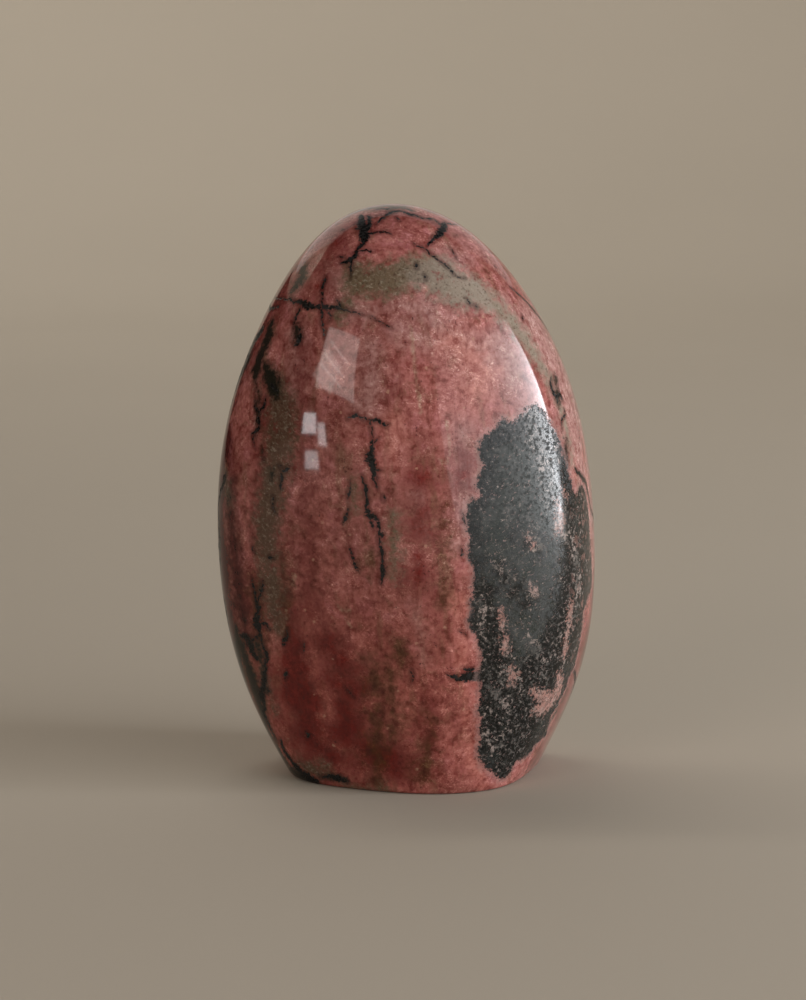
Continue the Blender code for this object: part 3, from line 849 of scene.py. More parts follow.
# %% Marks inside the black patch
PATCH_MARKS = {
    "sprinkle": {
        "front": [
            [(24.3, 20.2, 1.7), (26.8, 16.7, 2.5), (28.9, 11.4, 2.5), (30.4, 5.5, 1.9), (31, 0, 1.1)],
            [(34, -1.7, 0.6), (33.1, -5.1, 1.3), (34.4, -8, 0.6)],
            [(26.4, -5.5, 0.6), (28, -8, 0.8), (29.7, -10.1, 0.8)],
            [(22.1, 0, 0.4), (22.1, -4.2, 0.6)],
            [(18.3, -13.5, 0.6), (20.9, -15, 1.1), (23.4, -16.2, 0.6)],
            [(26.8, -18.1, 0.6), (27.6, -20.2, 0.8)],
            [(16.7, -21.5, 1.1), (17.1, -25.3, 0.8)],
            [(21.5, -35.4, 0.8), (23.8, -38, 1.3), (25.1, -39.2, 0.6)],
            [(19.6, -41.3, 1.1), (21.7, -43.9, 1.1)],
            [(17.5, -49.8, 0.8), (20.5, -51.5, 1.1)],
            [(23, -27, 0.8), (26.8, -29.5, 1.1), (28.9, -32.7, 0.8)],
            [(35.4, -6.7, 0.6), (36.7, -12.7, 1.1), (37.3, -19, 1.1), (36.5, -23.6, 0.8)],
            [(30.2, 21.5, 1.7), (31.6, 15.2, 1.7), (32.3, 9.5, 1.3)],
        ],
        "back": [
            [(20, 28, 3), (24, 20, 4), (22, 12, 3)],
            [(-18, -32, 3), (-16, -39, 3)],
        ],
    },
    "islands": {
        "front": [
            [(20.5, -22.8, 0.2), (20.9, -25.3, 0.3), (21.1, -27.4, 0.2)],
            [(21.5, -29.5, 0.7), (21.7, -31.4, 0.8)],
            [(35.6, -21.5, 0.4), (35.2, -24.5, 0.7), (34.8, -27, 0.5), (34.4, -29.9, 0.8), (34, -32.7, 0.5)],
            [(32.9, -36.7, 0.6), (33.1, -38.8, 1.3), (32.3, -41.1, 1.9), (30.6, -42.8, 2.1),
             (28.9, -44.1, 1.3), (27.6, -44.5, 0.6)],
            [(29.9, -41.8, 1.7), (28, -40.7, 0.6), (27, -40.1, 0.3)],
            [(33.1, -2.5, 0.4), (33.5, -4.2, 0.6), (32.5, -6.3, 0.7)],
            [(22.6, -35.4, 0.4), (23.4, -37.1, 0.7), (22.8, -38.8, 0.4)],
            [(26.6, -7.8, 0.4), (27.4, -9.3, 0.4)],
            [(27.4, -18.1, 0.4), (27.8, -19.6, 0.6)],
            [(32.3, 0, 0.3), (32.9, -1.7, 0.5), (32.3, -3.8, 0.3)],
            [(33.7, 2.1, 0.3), (34.4, 0.6, 0.4)],
        ],
        "back": [
            [(21, 27, 0.6), (24, 22, 1.6), (23, 17, 0.8)],
            [(-19, -33, 0.8), (-17, -37, 1.2)],
        ],
    },
    "lace": {
        "front": [
            [(33.5, 5.3, 1.3), (35.2, -4.2, 3), (35.6, -16.9, 4.2), (34.4, -25.3, 4.6), (31.4, -33.7, 5.5),
             (26.8, -40.1, 6.3), (24.7, -50.6, 5.5), (21.5, -58, 2.5)],
            [(17.5, -19, 2.1), (17.9, -26.4, 3), (19.6, -34.8, 3.8), (19.2, -43.2, 3.8), (18.8, -51.7, 3)],
            [(15, 0.8, 1.1), (17.9, 0.8, 0.8)],
            [(20.5, -15.2, 1.7), (25.7, -21.1, 1.7)],
            [(24.3, -7.6, 1.3), (28.9, -10.1, 1.7)],
        ],
        "right": [[(-10, 5, 4.5), (-8, -10, 6.5), (-9, -24, 6), (-12, -34, 5)]],
        "back": [
            [(16, 8, 3), (28, 10, 4)],
            [(-20, -38, 5), (-12, -34, 3)],
        ],
    },
}
store_zones(PATCH_MARKS)

# %% [markdown]
# ## A brush for shader nodes
# The whole finish is one material, built from many small layers, as the rock is. Written out node
# by node it would be unreadable, so a small brush adds a node and hands back the socket that
# carries its result. Sizes are in millimetres on the stone: a noise of size 2 has spots about
# 2 mm apart. A noise hovers about 0.5, so a layer that starts at 0.52 and is full at 0.70 shows
# on the noise's peaks alone, and one that goes from 0.46 down to 0.36 shows in its hollows.

# %% The brush: wires, sums and layers
def tone(red, green, blue):
    """A screen colour, 0 to 255, as the linear colour that a shader takes."""
    screen = np.array([red, green, blue]) / 255
    linear = np.where(screen < 0.04045, screen / 12.92, ((screen + 0.055) / 1.055) ** 2.4)
    return (*linear.tolist(), 1.0)


class Brush:
    """Adds nodes to one material or light. Each method returns the socket with its result."""

    def __init__(self, owner, shader="Principled BSDF"):
        owner.use_nodes = True
        self.owner = owner
        self.tree = owner.node_tree
        self.shader = self.tree.nodes[shader]

    def plug(self, socket, value):
        """Links a socket to another one, or sets it to a plain value."""
        if isinstance(value, bpy.types.NodeSocket):
            self.tree.links.new(value, socket)
        else:
            socket.default_value = value

    def finish(self, settings):
        """Sets the shader's own inputs, by name, to sockets or plain values."""
        for name, value in settings.items():
            self.plug(self.shader.inputs[name], value)

    def node(self, kind, wires, **settings):
        """One node with its settings, and its inputs by name or number."""
        made = self.tree.nodes.new(kind)
        for setting, value in settings.items():
            setattr(made, setting, value)
        for socket, value in wires.items():
            self.plug(made.inputs[socket], value)
        return made

    def math(self, operation, *values):
        """One sum. The values are sockets or numbers."""
        return self.node("ShaderNodeMath", dict(enumerate(values)), operation=operation).outputs[0]

    def times(self, first, second):
        """The product of two values."""
        return self.math("MULTIPLY", first, second)

    def plus(self, first, second):
        """The sum of two values."""
        return self.math("ADD", first, second)

    def minus(self, first, second):
        """The first value less the second."""
        return self.math("SUBTRACT", first, second)

    def scaled(self, value, gain, start):
        """The value times a gain, counted from a start."""
        return self.math("MULTIPLY_ADD", value, gain, start)

    def ramp(self, value, none, full, least=0.0, most=1.0, interpolation="LINEAR"):
        """A share that runs from least, where the value is at none, to most, where it is at full."""
        wires = {"Value": value, "From Min": none, "From Max": full, "To Min": least, "To Max": most}
        return self.node("ShaderNodeMapRange", wires, interpolation_type=interpolation).outputs["Result"]

    def between(self, value, none, full, most=1.0):
        """A smooth share: 0 where the value is at none, and most where it is at full."""
        return self.ramp(value, none, full, most=most, interpolation="SMOOTHSTEP")

    def mix(self, share, under, over, blend="MIX"):
        """One colour laid over another."""
        wires = {0: share, 6: under, 7: over}
        return self.node("ShaderNodeMix", wires, data_type="RGBA", blend_type=blend).outputs[2]

    def laid(self, under, over, value, none, full, most=1.0, blend="MIX"):
        """One colour laid over another where a value goes from none to full."""
        return self.mix(self.between(value, none, full, most), under, over, blend)

    def own_place(self):
        """The owner's own coordinates, in metres."""
        return self.node("ShaderNodeTexCoord", {}).outputs["Object"]

    def place_mm(self):
        """The owner's own coordinates, in millimetres."""
        wires = {"Vector": self.own_place(), "Scale": (1 / MM,) * 3}
        return self.node("ShaderNodeMapping", wires).outputs[0]

    def split(self, place):
        """The place's X, Y and Z."""
        return self.node("ShaderNodeSeparateXYZ", {0: place}).outputs

    def noise(self, place, size=1.0, detail=2.0, roughness=0.5):
        """Cloudy noise around 0.5."""
        wires = {"Vector": place, "Scale": 1 / size, "Detail": detail, "Roughness": roughness}
        return self.node("ShaderNodeTexNoise", wires).outputs["Fac"]


print("brush methods:", ", ".join(name for name in vars(Brush) if not name.startswith("_")))

# %% The stone's own brush: grain, noise and the marks on the mesh
# A cloudy noise rarely strays more than a fifth from its middle.
NOISE_GAIN = 5.0


class StoneBrush(Brush):
    """A brush that can bend, stretch and break up places, and read what is stored on the mesh."""

    def __init__(self, owner):
        super().__init__(owner)
        self.place = self.place_mm()
        self.fine_place = self.wander(self.place, size=0.5, by=0.4)
        self.bent_place = self.wander(self.place, size=2.5, by=0.5)

    def wander(self, place, size, by):
        """The place moved about by a noise, at most about so many mm."""
        wires = {"Vector": place, "Scale": 1 / size, "Detail": 2.0}
        colour = self.node("ShaderNodeTexNoise", wires).outputs["Color"]
        centred_noise = self.node("ShaderNodeVectorMath", {0: colour, 1: (0.5,) * 3}, operation="SUBTRACT")
        wires = {0: centred_noise.outputs[0], 1: (2 * by,) * 3, 2: place}
        return self.node("ShaderNodeVectorMath", wires, operation="MULTIPLY_ADD").outputs[0]

    def stretched(self, place, sizes, turn=(0, 0, 0)):
        """Coordinates that count spots of the given sizes along turned axes, in mm and degrees."""
        scale = tuple(1 / size for size in sizes)
        turned = self.node("ShaderNodeMapping", {"Vector": place, "Rotation": tuple(np.radians(turn))})
        return self.node("ShaderNodeMapping", {"Vector": turned.outputs[0], "Scale": scale}).outputs[0]

    def grains(self, place, size):
        """Cells of about a size: the distance from each cell's middle, and one random number each."""
        cells = self.node("ShaderNodeTexVoronoi", {"Vector": place, "Scale": 1 / size})
        shade = self.node("ShaderNodeSeparateColor", {0: cells.outputs["Color"]})
        return cells.outputs["Distance"], shade.outputs[0]

    def about_zero(self, value, spread):
        """A noise around 0.5 turned into one around 0, as wide as the spread."""
        return self.scaled(value, spread, -spread / 2)

    def swing(self, place, spread, **cloud):
        """A new noise around 0, as wide as the spread."""
        return self.about_zero(self.noise(place, **cloud), spread)

    def mark(self, name):
        """A number that is stored on the mesh."""
        return self.node("ShaderNodeAttribute", {}, attribute_name=name).outputs["Fac"]

    def zone(self, name, soft, ragged, size, most=1.0):
        """The share of a drawn zone: soft mm wide at its edge, which wanders by about ragged mm."""
        rag = self.swing(self.bent_place, NOISE_GAIN * ragged, size=size, detail=4.0, roughness=0.65)
        return self.between(self.plus(self.mark(f"{name}_edge"), rag), soft, -soft, most)


brush = StoneBrush(bpy.data.materials.new("polished_rhodonite"))
place = brush.place
fine_place = brush.fine_place
bent_place = brush.bent_place
across_mm, _, height_mm = brush.split(place)
print("places to read:", len(brush.tree.nodes), "nodes so far")

# %% [markdown]
# ## The pink body
# Rhodonite's pink is a felt of grains about half a millimetre across. From far off it reads as
# broad clouds with upright streaks, and from close by as soft red clots, pale fibres and a few
# dark specks. Each of those is its own layer here, from the broad to the fine, so none of them
# has to be right alone.

# %% Clouds and drawn zones of the pink
DUSTY_PINK = tone(134, 78, 72)
WARM_PINK = tone(156, 94, 88)
ROSE = tone(101, 40, 36)
HEART_RED = tone(90, 15, 10)
SALMON = tone(174, 110, 100)
MAROON = tone(58, 8, 8)
BROWN = tone(58, 37, 8)
BLUSH_AND_SHEEN = tone(160, 117, 111)
OLIVE_VEIL = tone(104, 78, 58)
LILAC = tone(150, 88, 88)
THREAD = tone(150, 128, 106)
# This tint paints shade: the colour under it is multiplied with it.
PAINTED_SHADE_TINT = (1.0, 0.80, 0.73, 1.0)

clouds = brush.noise(place, size=12.0, detail=3.0)
pink = brush.laid(DUSTY_PINK, WARM_PINK, clouds, 0.38, 0.62)
hue_cloud = brush.noise(brush.wander(place, size=3.0, by=1.5), size=3.6, detail=4.0, roughness=0.6)
pink = brush.laid(pink, OLIVE_VEIL, hue_cloud, 0.54, 0.68, most=0.35)
pink = brush.laid(pink, LILAC, hue_cloud, 0.48, 0.34, most=0.6)
long_place = brush.stretched(bent_place, (3.2, 3.2, 15.0), (-3, 4, 40))
long_streaks = brush.noise(long_place, detail=4.0, roughness=0.6)
pink = brush.laid(pink, OLIVE_VEIL, long_streaks, 0.53, 0.68, most=0.45)

# The mm over which each zone's edge is soft and ragged, the rags' size, and the zone's strength.
for zone, colour, soft, ragged, size, most in (
    # The blush zone is partly a painted veil of sheen.
    ("blush", BLUSH_AND_SHEEN, 4.0, 2.0, 4.0, 0.85),
    ("salmon", SALMON, 3.0, 2.0, 4.0, 0.8),
    ("maroon", MAROON, 3.0, 2.0, 3.0, 0.97),
    # The rose zone is partly painted shade.
    ("rose", ROSE, 3.0, 2.0, 3.0, 0.75),
    ("heart_red", HEART_RED, 4.2, 3.6, 3.6, 0.95),
):
    pink = brush.mix(brush.zone(zone, soft, ragged, size, most), pink, colour)

# Painted shade and a painted warm bounce: the colour is deeper and redder towards the foot and the left side.
painted_shade_height = brush.plus(height_mm, brush.about_zero(clouds, 40.0))
painted_shade_share = brush.times(brush.between(painted_shade_height, 58.0, 20.0), brush.between(across_mm, 34.0, -6.0))
pink = brush.mix(painted_shade_share, pink, PAINTED_SHADE_TINT, "MULTIPLY")
pink = brush.mix(brush.zone("brown", 2.6, 2.4, 2.6, most=0.75), pink, BROWN)
pink = brush.mix(brush.zone("thread", 0.5, 0.35, 0.8, most=0.6), pink, THREAD)
print("clouds and zones:", len(brush.tree.nodes), "nodes")

# %% Streaks, felt and fibres of the pink
CLOT_STAIN = tone(180, 118, 113)
SHADE_STAIN = tone(205, 176, 172)
# A stain above 1 lightens what it is multiplied with.
PALE_STAIN = (1.35, 1.55, 1.55, 1.0)
FIBRE_STAIN = (1.5, 1.9, 1.9, 1.0)
FIBRE_SIZES = (0.28, 0.28, 2.2)
FIBRE_TURNS = ((20, 35, 10), (-15, -40, 30), (35, 80, -20))

streaks = brush.noise(brush.stretched(bent_place, (1.6, 1.6, 9.0), (4, 3, 0)), detail=4.0, roughness=0.6)
pink = brush.laid(pink, ROSE, streaks, 0.52, 0.70, most=0.5)
felt = brush.noise(bent_place, size=1.8, detail=5.0, roughness=0.6)
pink = brush.laid(pink, CLOT_STAIN, felt, 0.51, 0.66, 0.62, "MULTIPLY")
pink = brush.laid(pink, PALE_STAIN, felt, 0.49, 0.36, 0.7, "MULTIPLY")
fine_felt = brush.noise(fine_place, size=0.8, detail=3.0, roughness=0.6)
pink = brush.laid(pink, SHADE_STAIN, fine_felt, 0.50, 0.62, 0.45, "MULTIPLY")
pink = brush.laid(pink, PALE_STAIN, fine_felt, 0.46, 0.36, 0.35, "MULTIPLY")

fibre_clumps = brush.between(brush.noise(place, size=4.0, detail=3.0), 0.44, 0.62, most=0.7)
for fibre_turn in FIBRE_TURNS:
    lie = brush.stretched(fine_place, FIBRE_SIZES, fibre_turn)
    fibres = brush.between(brush.noise(lie, detail=1.0), 0.57, 0.68)
    pink = brush.mix(brush.times(fibres, fibre_clumps), pink, FIBRE_STAIN, "MULTIPLY")
print("felt and fibres:", len(brush.tree.nodes), "nodes")

# %% Specks and glints of the pink
DARK_SPECK = tone(52, 20, 18)
CREAM = tone(190, 152, 126)
GLINT_STRENGTH = 0.4

speck_noise = brush.noise(brush.stretched(fine_place, (0.5, 0.5, 0.8)), detail=3.0, roughness=0.6)
speck_level = brush.plus(speck_noise, brush.swing(place, 0.3, size=5.0, detail=2.0))
pink = brush.laid(pink, DARK_SPECK, speck_level, 0.665, 0.725, most=0.75)
# A glint is the middle of a cell, and only a few cells draw a lot above 0.93.
glint_middle, glint_lot = brush.grains(fine_place, size=1.9)
glints = brush.times(brush.between(glint_middle, 0.24, 0.10), brush.between(glint_lot, 0.93, 0.95))
pink = brush.mix(brush.times(glints, GLINT_STRENGTH), pink, CREAM)
print("specks and glints:", len(brush.tree.nodes), "nodes")

# %% [markdown]
# ## The olive bands
# The bands are a duller mineral, speckled rather than streaked, with short pale hairs in it. They
# are brown on the left of the stone and pale grey on the right, so their colour follows the X
# axis. The pink's felt cuts into them, so they are laid over it a little thinly, and their edges
# break up into islands.

# %% Olive-grey over pink
OLIVE_BROWN = tone(80, 63, 49)
OLIVE = tone(92, 82, 62)
OLIVE_PALE = tone(136, 126, 111)
OLIVE_DARK = tone(44, 38, 28)
OLIVE_HAIR = tone(168, 162, 144)

olive_cloud = brush.noise(bent_place, size=2.2, detail=5.0, roughness=0.65)
olive_side = brush.plus(across_mm, brush.about_zero(olive_cloud, 22.0))
olive_tone = brush.laid(OLIVE_BROWN, OLIVE, olive_side, -24.0, -12.0)
olive_tone = brush.laid(olive_tone, OLIVE_PALE, olive_side, -8.0, 14.0)
olive_grain = brush.noise(fine_place, size=0.6, detail=4.0, roughness=0.7)
olive_tone = brush.laid(olive_tone, OLIVE_DARK, olive_grain, 0.53, 0.66, most=0.7)
olive_tone = brush.laid(olive_tone, OLIVE_PALE, olive_grain, 0.46, 0.36, most=0.45)
olive_hairs = brush.noise(brush.stretched(fine_place, (0.55, 0.55, 1.1), (30, 60, 20)), detail=2.0)
olive_tone = brush.laid(olive_tone, OLIVE_HAIR, olive_hairs, 0.58, 0.72, most=0.35)
olive_tone = brush.laid(olive_tone, OLIVE_BROWN, olive_cloud, 0.56, 0.68, most=0.55)
olive_share = brush.zone("olive", 2.0, 1.5, 1.5, most=0.9)
olive_share = brush.times(olive_share, brush.between(felt, 0.76, 0.56))
rock = brush.mix(olive_share, pink, olive_tone)
print("olive bands:", len(brush.tree.nodes), "nodes")

# %% [markdown]
# ## Veins and soot
# A vein is black where the offset across it is smaller than its half width. One noise bends the
# offset, so the line turns at grain edges. A second one eats into the width and throws out
# feathers at the scale of the grains. Around it lie a stain and a dust of black grains.
# Soot is the same oxide where it only breathed into the rock: soft smudges, greenish black.

# %% Black veins
sway = brush.swing(place, 1.8, size=2.0, detail=3.0, roughness=0.6)
jitter = brush.swing(place, 0.35, size=0.5, detail=3.0, roughness=0.6)
offset = brush.plus(brush.mark("vein_offset"), brush.plus(sway, jitter))
half_width = brush.mark("vein_half_width")
feathers = brush.swing(fine_place, 3.6, size=0.7, detail=4.0, roughness=0.75)
feather_reach = brush.scaled(half_width, 0.9, 0.06)
full_width = brush.times(half_width, brush.scaled(half_width, 0.5, 1.1))
thickness = brush.math("MULTIPLY_ADD", feathers, feather_reach, full_width)
ink = brush.minus(thickness, brush.math("ABSOLUTE", offset))
open_vein = brush.between(half_width, 0.0, 0.08)
vein_share = brush.times(brush.between(ink, -0.05, 0.07), open_vein)
print("veins:", len(brush.tree.nodes), "nodes")

# %% Stain and dust beside the veins, and the soot
BLACK = tone(12, 10, 9)
SOOT = tone(24, 26, 20)
SOOT_HAZE = tone(72, 66, 54)
STAIN = tone(122, 92, 88)

vein_gap = brush.mark("vein_gap")
stain_gap = brush.plus(vein_gap, brush.about_zero(felt, 2.0))
rock = brush.laid(rock, STAIN, stain_gap, 0.8, 0.0, 0.6, "MULTIPLY")
dust_grain = brush.noise(fine_place, size=0.5, detail=4.0, roughness=0.75)
# The further from a vein, the higher a grain has to stand out to be dust.
dust_level = brush.minus(dust_grain, brush.scaled(vein_gap, 0.15, 0.60))
rock = brush.laid(rock, BLACK, dust_level, 0.0, 0.04, most=0.85)
rock = brush.mix(brush.zone("soot", 2.2, 1.2, 1.6, most=0.55), rock, SOOT_HAZE)
rock = brush.mix(brush.zone("soot", 0.9, 0.9, 1.1, most=0.93), rock, SOOT)
rock = brush.mix(vein_share, rock, BLACK)
print("stain, dust and soot:", len(brush.tree.nodes), "nodes")

# %% [markdown]
# ## The black patch
# Inside the patch the oxide is charcoal with a green cast, and it is thickest and blackest along
# the patch's edge. Grains that it didn't reach show as pale flecks, so thick in some places that
# the black is only a lace between them. Fine pale hairs cross it, and a few larger islands of
# pink stayed whole.

# %% The patch's ragged edge
LACE_BLACK = tone(9, 10, 10)
FROST = tone(150, 122, 116)

fleck_grain = brush.noise(fine_place, size=0.8, detail=5.0, roughness=0.68)
patch_gap = brush.mark("patch_edge")
frayed_edge = brush.plus(patch_gap, brush.about_zero(fleck_grain, 3.6))
rag = brush.swing(fine_place, 3.4, size=1.1, detail=6.0, roughness=0.75)
ragged_edge = brush.plus(frayed_edge, rag)
patch_share = brush.between(ragged_edge, 0.35, -0.35)
rock = brush.laid(rock, FROST, ragged_edge, 1.6, 0.3, most=0.4)
# Lone black grains lie outside the edge, fewer the further out.
lone_level = brush.minus(fleck_grain, brush.scaled(patch_gap, 0.035, 0.59))
rock = brush.laid(rock, LACE_BLACK, lone_level, 0.0, 0.05, most=0.85)
print("edge of the patch:", len(brush.tree.nodes), "nodes")

# %% Charcoal and its flecks
CHARCOAL = tone(49, 51, 48)
CHARCOAL_GREEN = tone(33, 38, 33)
GREY_FLECK = tone(90, 86, 82)
PINK_FLECK = tone(152, 136, 128)
ISLAND_PINK = tone(154, 114, 104)

charcoal_cloud = brush.noise(bent_place, size=3.0, detail=4.0, roughness=0.6)
charcoal = brush.laid(CHARCOAL, CHARCOAL_GREEN, charcoal_cloud, 0.4, 0.6)
lace_share = brush.zone("lace", 2.5, 2.0, 2.0)
rim = brush.between(brush.plus(ragged_edge, brush.about_zero(charcoal_cloud, 9.0)), -5.0, -1.2)
darkness = brush.math("MAXIMUM", brush.times(lace_share, 0.92), brush.times(rim, 0.85))
charcoal = brush.mix(darkness, charcoal, LACE_BLACK)
dark_grains = brush.times(brush.between(fleck_grain, 0.50, 0.40), brush.scaled(lace_share, 0.4, 0.5))
charcoal = brush.mix(dark_grains, charcoal, LACE_BLACK)

# Flecks are thicker in clumps, in the lace and where the patch is sprinkled with them.
fleck_level = brush.plus(fleck_grain, brush.swing(place, 0.24, size=2.4, detail=2.0))
fleck_level = brush.scaled(lace_share, 0.05, fleck_level)
fleck_level = brush.scaled(brush.zone("sprinkle", 1.4, 0.9, 1.0), 0.11, fleck_level)
fleck_tone = brush.laid(GREY_FLECK, PINK_FLECK, charcoal_cloud, 0.44, 0.60)
charcoal = brush.laid(charcoal, GREY_FLECK, fleck_level, 0.53, 0.65, most=0.28)
charcoal = brush.laid(charcoal, fleck_tone, fleck_level, 0.61, 0.70, most=0.85)
print("flecks:", len(brush.tree.nodes), "nodes")

# %% The patch's right ridge, hairs and islands
ridge_share = brush.times(brush.between(across_mm, 32.0, 36.0), lace_share)
ridge_grain = brush.noise(fine_place, size=1.7, detail=3.0, roughness=0.65)
ridge_flecks = brush.between(ridge_grain, 0.55, 0.63, most=0.45)
charcoal = brush.mix(brush.times(ridge_flecks, ridge_share), charcoal, ISLAND_PINK)
charcoal = brush.laid(charcoal, GREY_FLECK, dust_grain, 0.54, 0.66, most=0.5)
hair_place = brush.stretched(brush.wander(place, 0.9, 0.8), (0.3, 0.3, 1.5), (50, -30, 15))
charcoal = brush.laid(charcoal, FROST, brush.noise(hair_place, detail=1.0), 0.66, 0.74, most=0.6)

island_tone = brush.laid(ISLAND_PINK, PINK_FLECK, felt, 0.46, 0.62, most=0.5)
island_tone = brush.laid(island_tone, GREY_FLECK, fleck_grain, 0.54, 0.64, most=0.5)
island_share = brush.times(brush.zone("islands", 0.7, 1.4, 0.7), brush.between(dust_grain, 0.62, 0.50))
charcoal = brush.mix(island_share, charcoal, island_tone)
rock = brush.mix(patch_share, rock, charcoal)
print("whole colour:", len(brush.tree.nodes), "nodes")

# %% [markdown]
# ## The polish
# Rhodonite takes a bright polish. The oxide is softer: it polishes to a dull, pitted sheen and
# sits a hair lower. So the roughness and a very small bump follow the same marks as the colour,
# and the pits break up every reflection that falls on the oxide.

# %% Roughness, depth and the shader's own settings
PINK_ROUGHNESS = 0.055
OXIDE_ROUGHNESS = 0.23
RELIEF_MM = 0.02
RELIEF_STRENGTH = 0.6
RHODONITE_IOR = 1.45

oxide_share = brush.math("MAXIMUM", patch_share, vein_share)
sheen_share = brush.times(oxide_share, brush.scaled(lace_share, -0.8, 1.0))
oxide_gain = brush.times(sheen_share, OXIDE_ROUGHNESS - PINK_ROUGHNESS)
pit_gain = brush.times(sheen_share, brush.between(fleck_grain, 0.52, 0.42, most=0.42))
haze = brush.swing(place, 0.10, size=0.8, detail=5.0, roughness=0.7)
roughness = brush.plus(brush.plus(brush.plus(oxide_gain, pit_gain), PINK_ROUGHNESS), haze)

pits = brush.times(oxide_share, brush.plus(fleck_grain, 0.5))
relief = brush.scaled(fine_felt, 0.10, pits)
bump_wires = {"Height": relief, "Distance": RELIEF_MM * MM, "Strength": RELIEF_STRENGTH}
bump = brush.node("ShaderNodeBump", bump_wires, invert=True)
brush.finish({"Base Color": rock, "Roughness": roughness, "Normal": bump.outputs[0]})
brush.finish({"IOR": RHODONITE_IOR, "Metallic": 0.0})
stone_mesh.materials.append(brush.owner)
print("material:", len(brush.tree.nodes), "nodes")

# %% [markdown]
# ## The studio
# A polished stone shows its lights as plainly as its colour, so each light here is a shape that
# the stone mirrors. A tall panel to the right makes the long bright edge along the right ridge.
# It is brightest along its own right edge and dims to the left and upwards, as daylight does past
# a blind. To the left front stand a window with its pane and thin bars, and below it three small
# openings. A dark card beside the stone keeps its left rim deep. Two washes light the paper, and
# no mirror image of them shows in the stone.

# %% Floor and backdrop
PAPER = tone(166, 156, 142)
PAPER_SHADE = tone(154, 145, 131)
COVE_RADIUS = 2.4
COVE_ROUND = 1.2
COVE_HEIGHT = 3.0
COVE_COLUMNS = 96
COVE_ROUND_ROWS = 24
# The radii of the rings in the middle of the floor.
FLOOR_RINGS = (0.001, 0.1, 0.4)


def cove():
    """A round floor that curves up into a wall: a quarter circle as profile, turned about Z.

    Returns the points, ring by ring from the middle out, and the number of rings.
    """
    rise = np.linspace(0, np.pi / 2, COVE_ROUND_ROWS)
    curve = COVE_RADIUS - COVE_ROUND + COVE_ROUND * np.sin(rise)
    radius = np.concatenate([FLOOR_RINGS, curve, [COVE_RADIUS]])[:, None]
    height = np.concatenate([np.zeros(len(FLOOR_RINGS)), COVE_ROUND * (1 - np.cos(rise)), [COVE_HEIGHT]])
    turn = np.arange(COVE_COLUMNS) / COVE_COLUMNS * 2 * np.pi
    x = radius * np.cos(turn)
    z = np.broadcast_to(height[:, None], x.shape)
    return np.stack([x, radius * np.sin(turn), z], axis=-1).reshape(-1, 3), len(radius)


cove_points, cove_rings = cove()
floor = new_piece("paper_cove", cove_points, ring_quads(cove_rings, COVE_COLUMNS))
paper = Brush(bpy.data.materials.new("warm_paper"))
paper_cloud = paper.noise(paper.place_mm(), 300.0)
paper_tone = paper.laid(PAPER, PAPER_SHADE, paper_cloud, 0.3, 0.7, most=0.12)
paper.finish({"Base Color": paper_tone, "Roughness": 0.8, "Specular IOR Level": 0.1})
floor.data.materials.append(paper.owner)
print("cove:", cove_rings, "rings,", 2 * COVE_RADIUS, "m across")

# %% A light of an exact brightness
DIMMING_POWER = 3.0
# A dimming panel's right edge is soft from this share of its width, counted from its middle.
SOFT_EDGE = 0.465


def panel(name, size, radiance, tint):
    """A rectangular light, width by height in metres, that the camera doesn't see.

    Its power is pi x area x radiance, so the radiance is how bright it looks in a mirror.
    """
    data = bpy.data.lights.new(name, "AREA")
    data.shape = "RECTANGLE"
    data.size, data.size_y = size
    data.energy = math.pi * size[0] * size[1] * radiance
    data.color = tint
    light = bpy.data.objects.new(name, data)
    light.visible_camera = False
    bpy.context.scene.collection.objects.link(light)
    return light


def facing_stone(light, turn, tilt, distance, roll):
    """Puts a light in a direction from the stone and turns it to face the stone, in degrees."""
    out = direction(math.radians(turn), math.radians(tilt))
    light.location = AIM + out * distance
    facing = Vector(-out).to_track_quat("-Z", "Y") @ Quaternion((0, 0, 1), math.radians(roll))
    light.rotation_euler = facing.to_euler()
    return light


def dim_to_left(light, dimmest):
    """Dims a panel towards its left edge and fades its upper half to nothing.

    With u running from 0 at the left edge to 1 at the right edge, the share of the full radiance
    is dimmest + (1 - dimmest) u^3. It is multiplied with a share that falls evenly from 1 at half
    the height to 0 at the top, and with one that softens the right edge.
    """
    width, height = light.data.size, light.data.size_y
    glow = Brush(light.data, "Emission")
    across, upward, _ = glow.split(glow.own_place())
    u = glow.ramp(across, -width / 2, width / 2)
    share = glow.ramp(glow.math("POWER", u, DIMMING_POWER), 0.0, 1.0, least=dimmest)
    top_fade = glow.ramp(upward, height / 2, 0.0)
    edge_fade = glow.ramp(across, width / 2, width * SOFT_EDGE)
    glow.finish({"Strength": glow.times(share, glow.times(top_fade, edge_fade))})


right_window = panel("right window", (1.18, 0.74), 29.0, (0.93, 0.96, 1.0))
facing_stone(right_window, 55.5, 13.0, 1.0, roll=8.0)
dim_to_left(right_window, dimmest=0.045)
print("right window:", round(right_window.data.energy, 1), "W")

# %% The other lights that the stone mirrors
WHITE = (1.0, 1.0, 1.0)
WINDOW_WHITE = (0.96, 0.98, 1.0)
WARM_WHITE = (1.0, 0.88, 0.82)

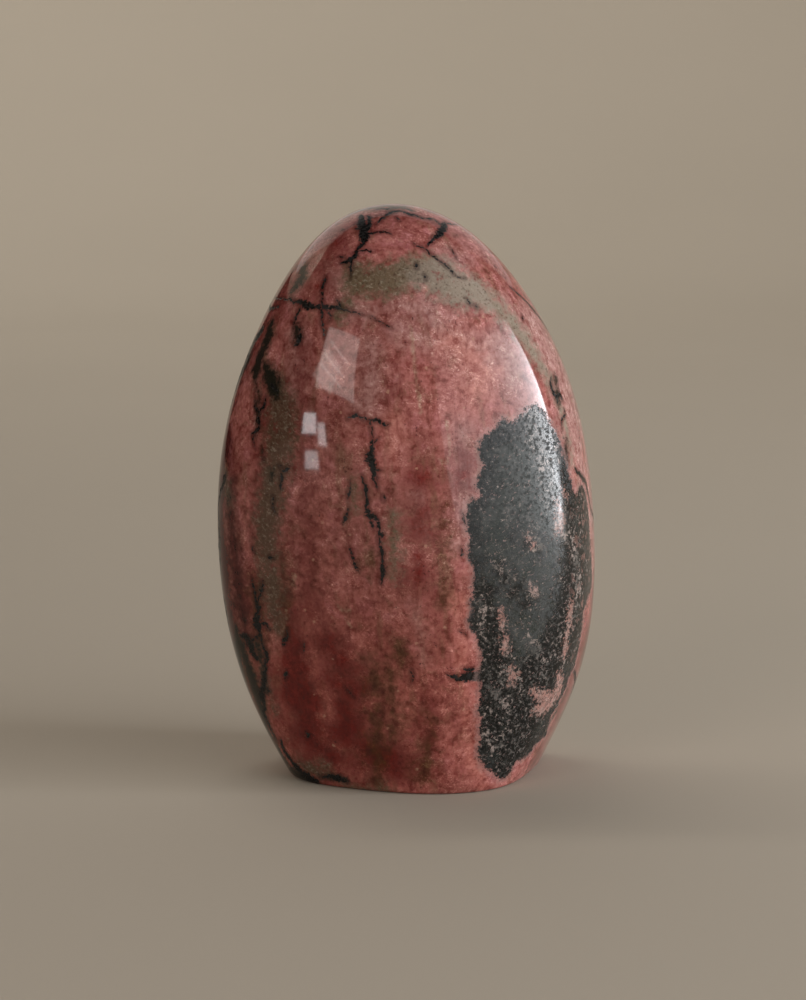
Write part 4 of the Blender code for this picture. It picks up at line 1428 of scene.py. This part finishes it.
# Name, size, radiance and tint, then turn and tilt in degrees, distance in metres, and roll.
SOFTBOXES = (
    ("right top window", (0.9, 0.5), 0.65, WINDOW_WHITE, 50.0, 48.0, 1.0, 0.0),
    ("front ceiling", (1.4, 0.8), 0.38, WINDOW_WHITE, 12.0, 27.0, 1.4, 0.0),
    ("left window", (0.36, 0.37), 3.2, WARM_WHITE, -35.0, 20.5, 1.0, -6.0),
    ("left window pane", (0.20, 0.20), 2.0, WARM_WHITE, -40.7, 17.1, 0.98, -30.0),
    ("left window bar", (0.24, 0.014), 3.0, WARM_WHITE, -39.0, 16.0, 0.97, -28.0),
    ("left window bar", (0.24, 0.014), 3.0, WARM_WHITE, -37.5, 19.5, 0.97, -28.0),
    ("left window bar", (0.24, 0.014), 3.0, WARM_WHITE, -35.0, 24.0, 0.97, -28.0),
    ("left glint top", (0.038, 0.039), 8.0, WHITE, -47.4, 1.9, 0.4, 0.0),
    ("left glint middle", (0.020, 0.040), 6.0, WHITE, -42.7, -0.6, 0.4, 0.0),
    ("left glint low", (0.028, 0.036), 5.5, WHITE, -46.7, -7.4, 0.4, 0.0),
    ("back", (3.2, 2.0), 0.45, WHITE, 180.0, 40.0, 2.0, 0.0),
)

for name, size, radiance, tint, turn, tilt, distance, roll in SOFTBOXES:
    light = facing_stone(panel(name, size, radiance, tint), turn, tilt, distance, roll)
    # The ceiling only fills the front. Its mirror image would veil the pink.
    light.visible_glossy = name != "front ceiling"
print("softboxes:", len(SOFTBOXES))

# %% The dark card
CARD_X = -0.8
CARD_FRONT = -0.7
CARD_BACK = 1.6
CARD_HEIGHT = 0.5

card_corners = [(CARD_X, y, z) for y, z in (
    (CARD_FRONT, 0), (CARD_BACK, 0), (CARD_BACK, CARD_HEIGHT), (CARD_FRONT, CARD_HEIGHT))]
card = new_piece("dark_card", card_corners, np.array([[0, 1, 2, 3]]))
card_felt = Brush(bpy.data.materials.new("dark_felt"))
felt_tone = card_felt.mix(card_felt.noise(card_felt.place_mm(), 40.0), tone(30, 22, 16), tone(38, 28, 20))
card_felt.finish({"Base Color": felt_tone, "Roughness": 0.9})
card.data.materials.append(card_felt.owner)
card.visible_camera = False
print("dark card:", round(CARD_BACK - CARD_FRONT, 2), "m long")

# %% Washes over the paper, and the air of the studio
WASH_TINT = (1.0, 0.97, 0.92)
AIR_TINT = (0.95, 0.97, 1.0, 1.0)
AIR_STRENGTH = 0.03

# Name, size and radiance, then the place in metres and the turn about X in degrees.
WASHES = (
    ("backdrop wash", (2.4, 0.6), 9.6, (-1.1, 0.7, 2.2), 52.0),
    ("room wash", (2.0, 0.8), 3.0, (0.4, -0.12, 1.9), -90.0),
)

for name, size, radiance, location, lean in WASHES:
    wash = panel(name, size, radiance, WASH_TINT)
    wash.location = location
    wash.rotation_euler = (math.radians(lean), 0.0, 0.0)
    wash.visible_glossy = False

world = bpy.data.worlds.new("studio")
world.use_nodes = True
air = world.node_tree.nodes["Background"].inputs
air["Color"].default_value = AIR_TINT
air["Strength"].default_value = AIR_STRENGTH
bpy.context.scene.world = world
bpy.context.scene.view_settings.view_transform = "Standard"
print("washes:", len(WASHES))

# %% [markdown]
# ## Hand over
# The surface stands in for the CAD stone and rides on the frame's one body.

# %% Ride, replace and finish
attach(stone, "root")
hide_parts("stone")
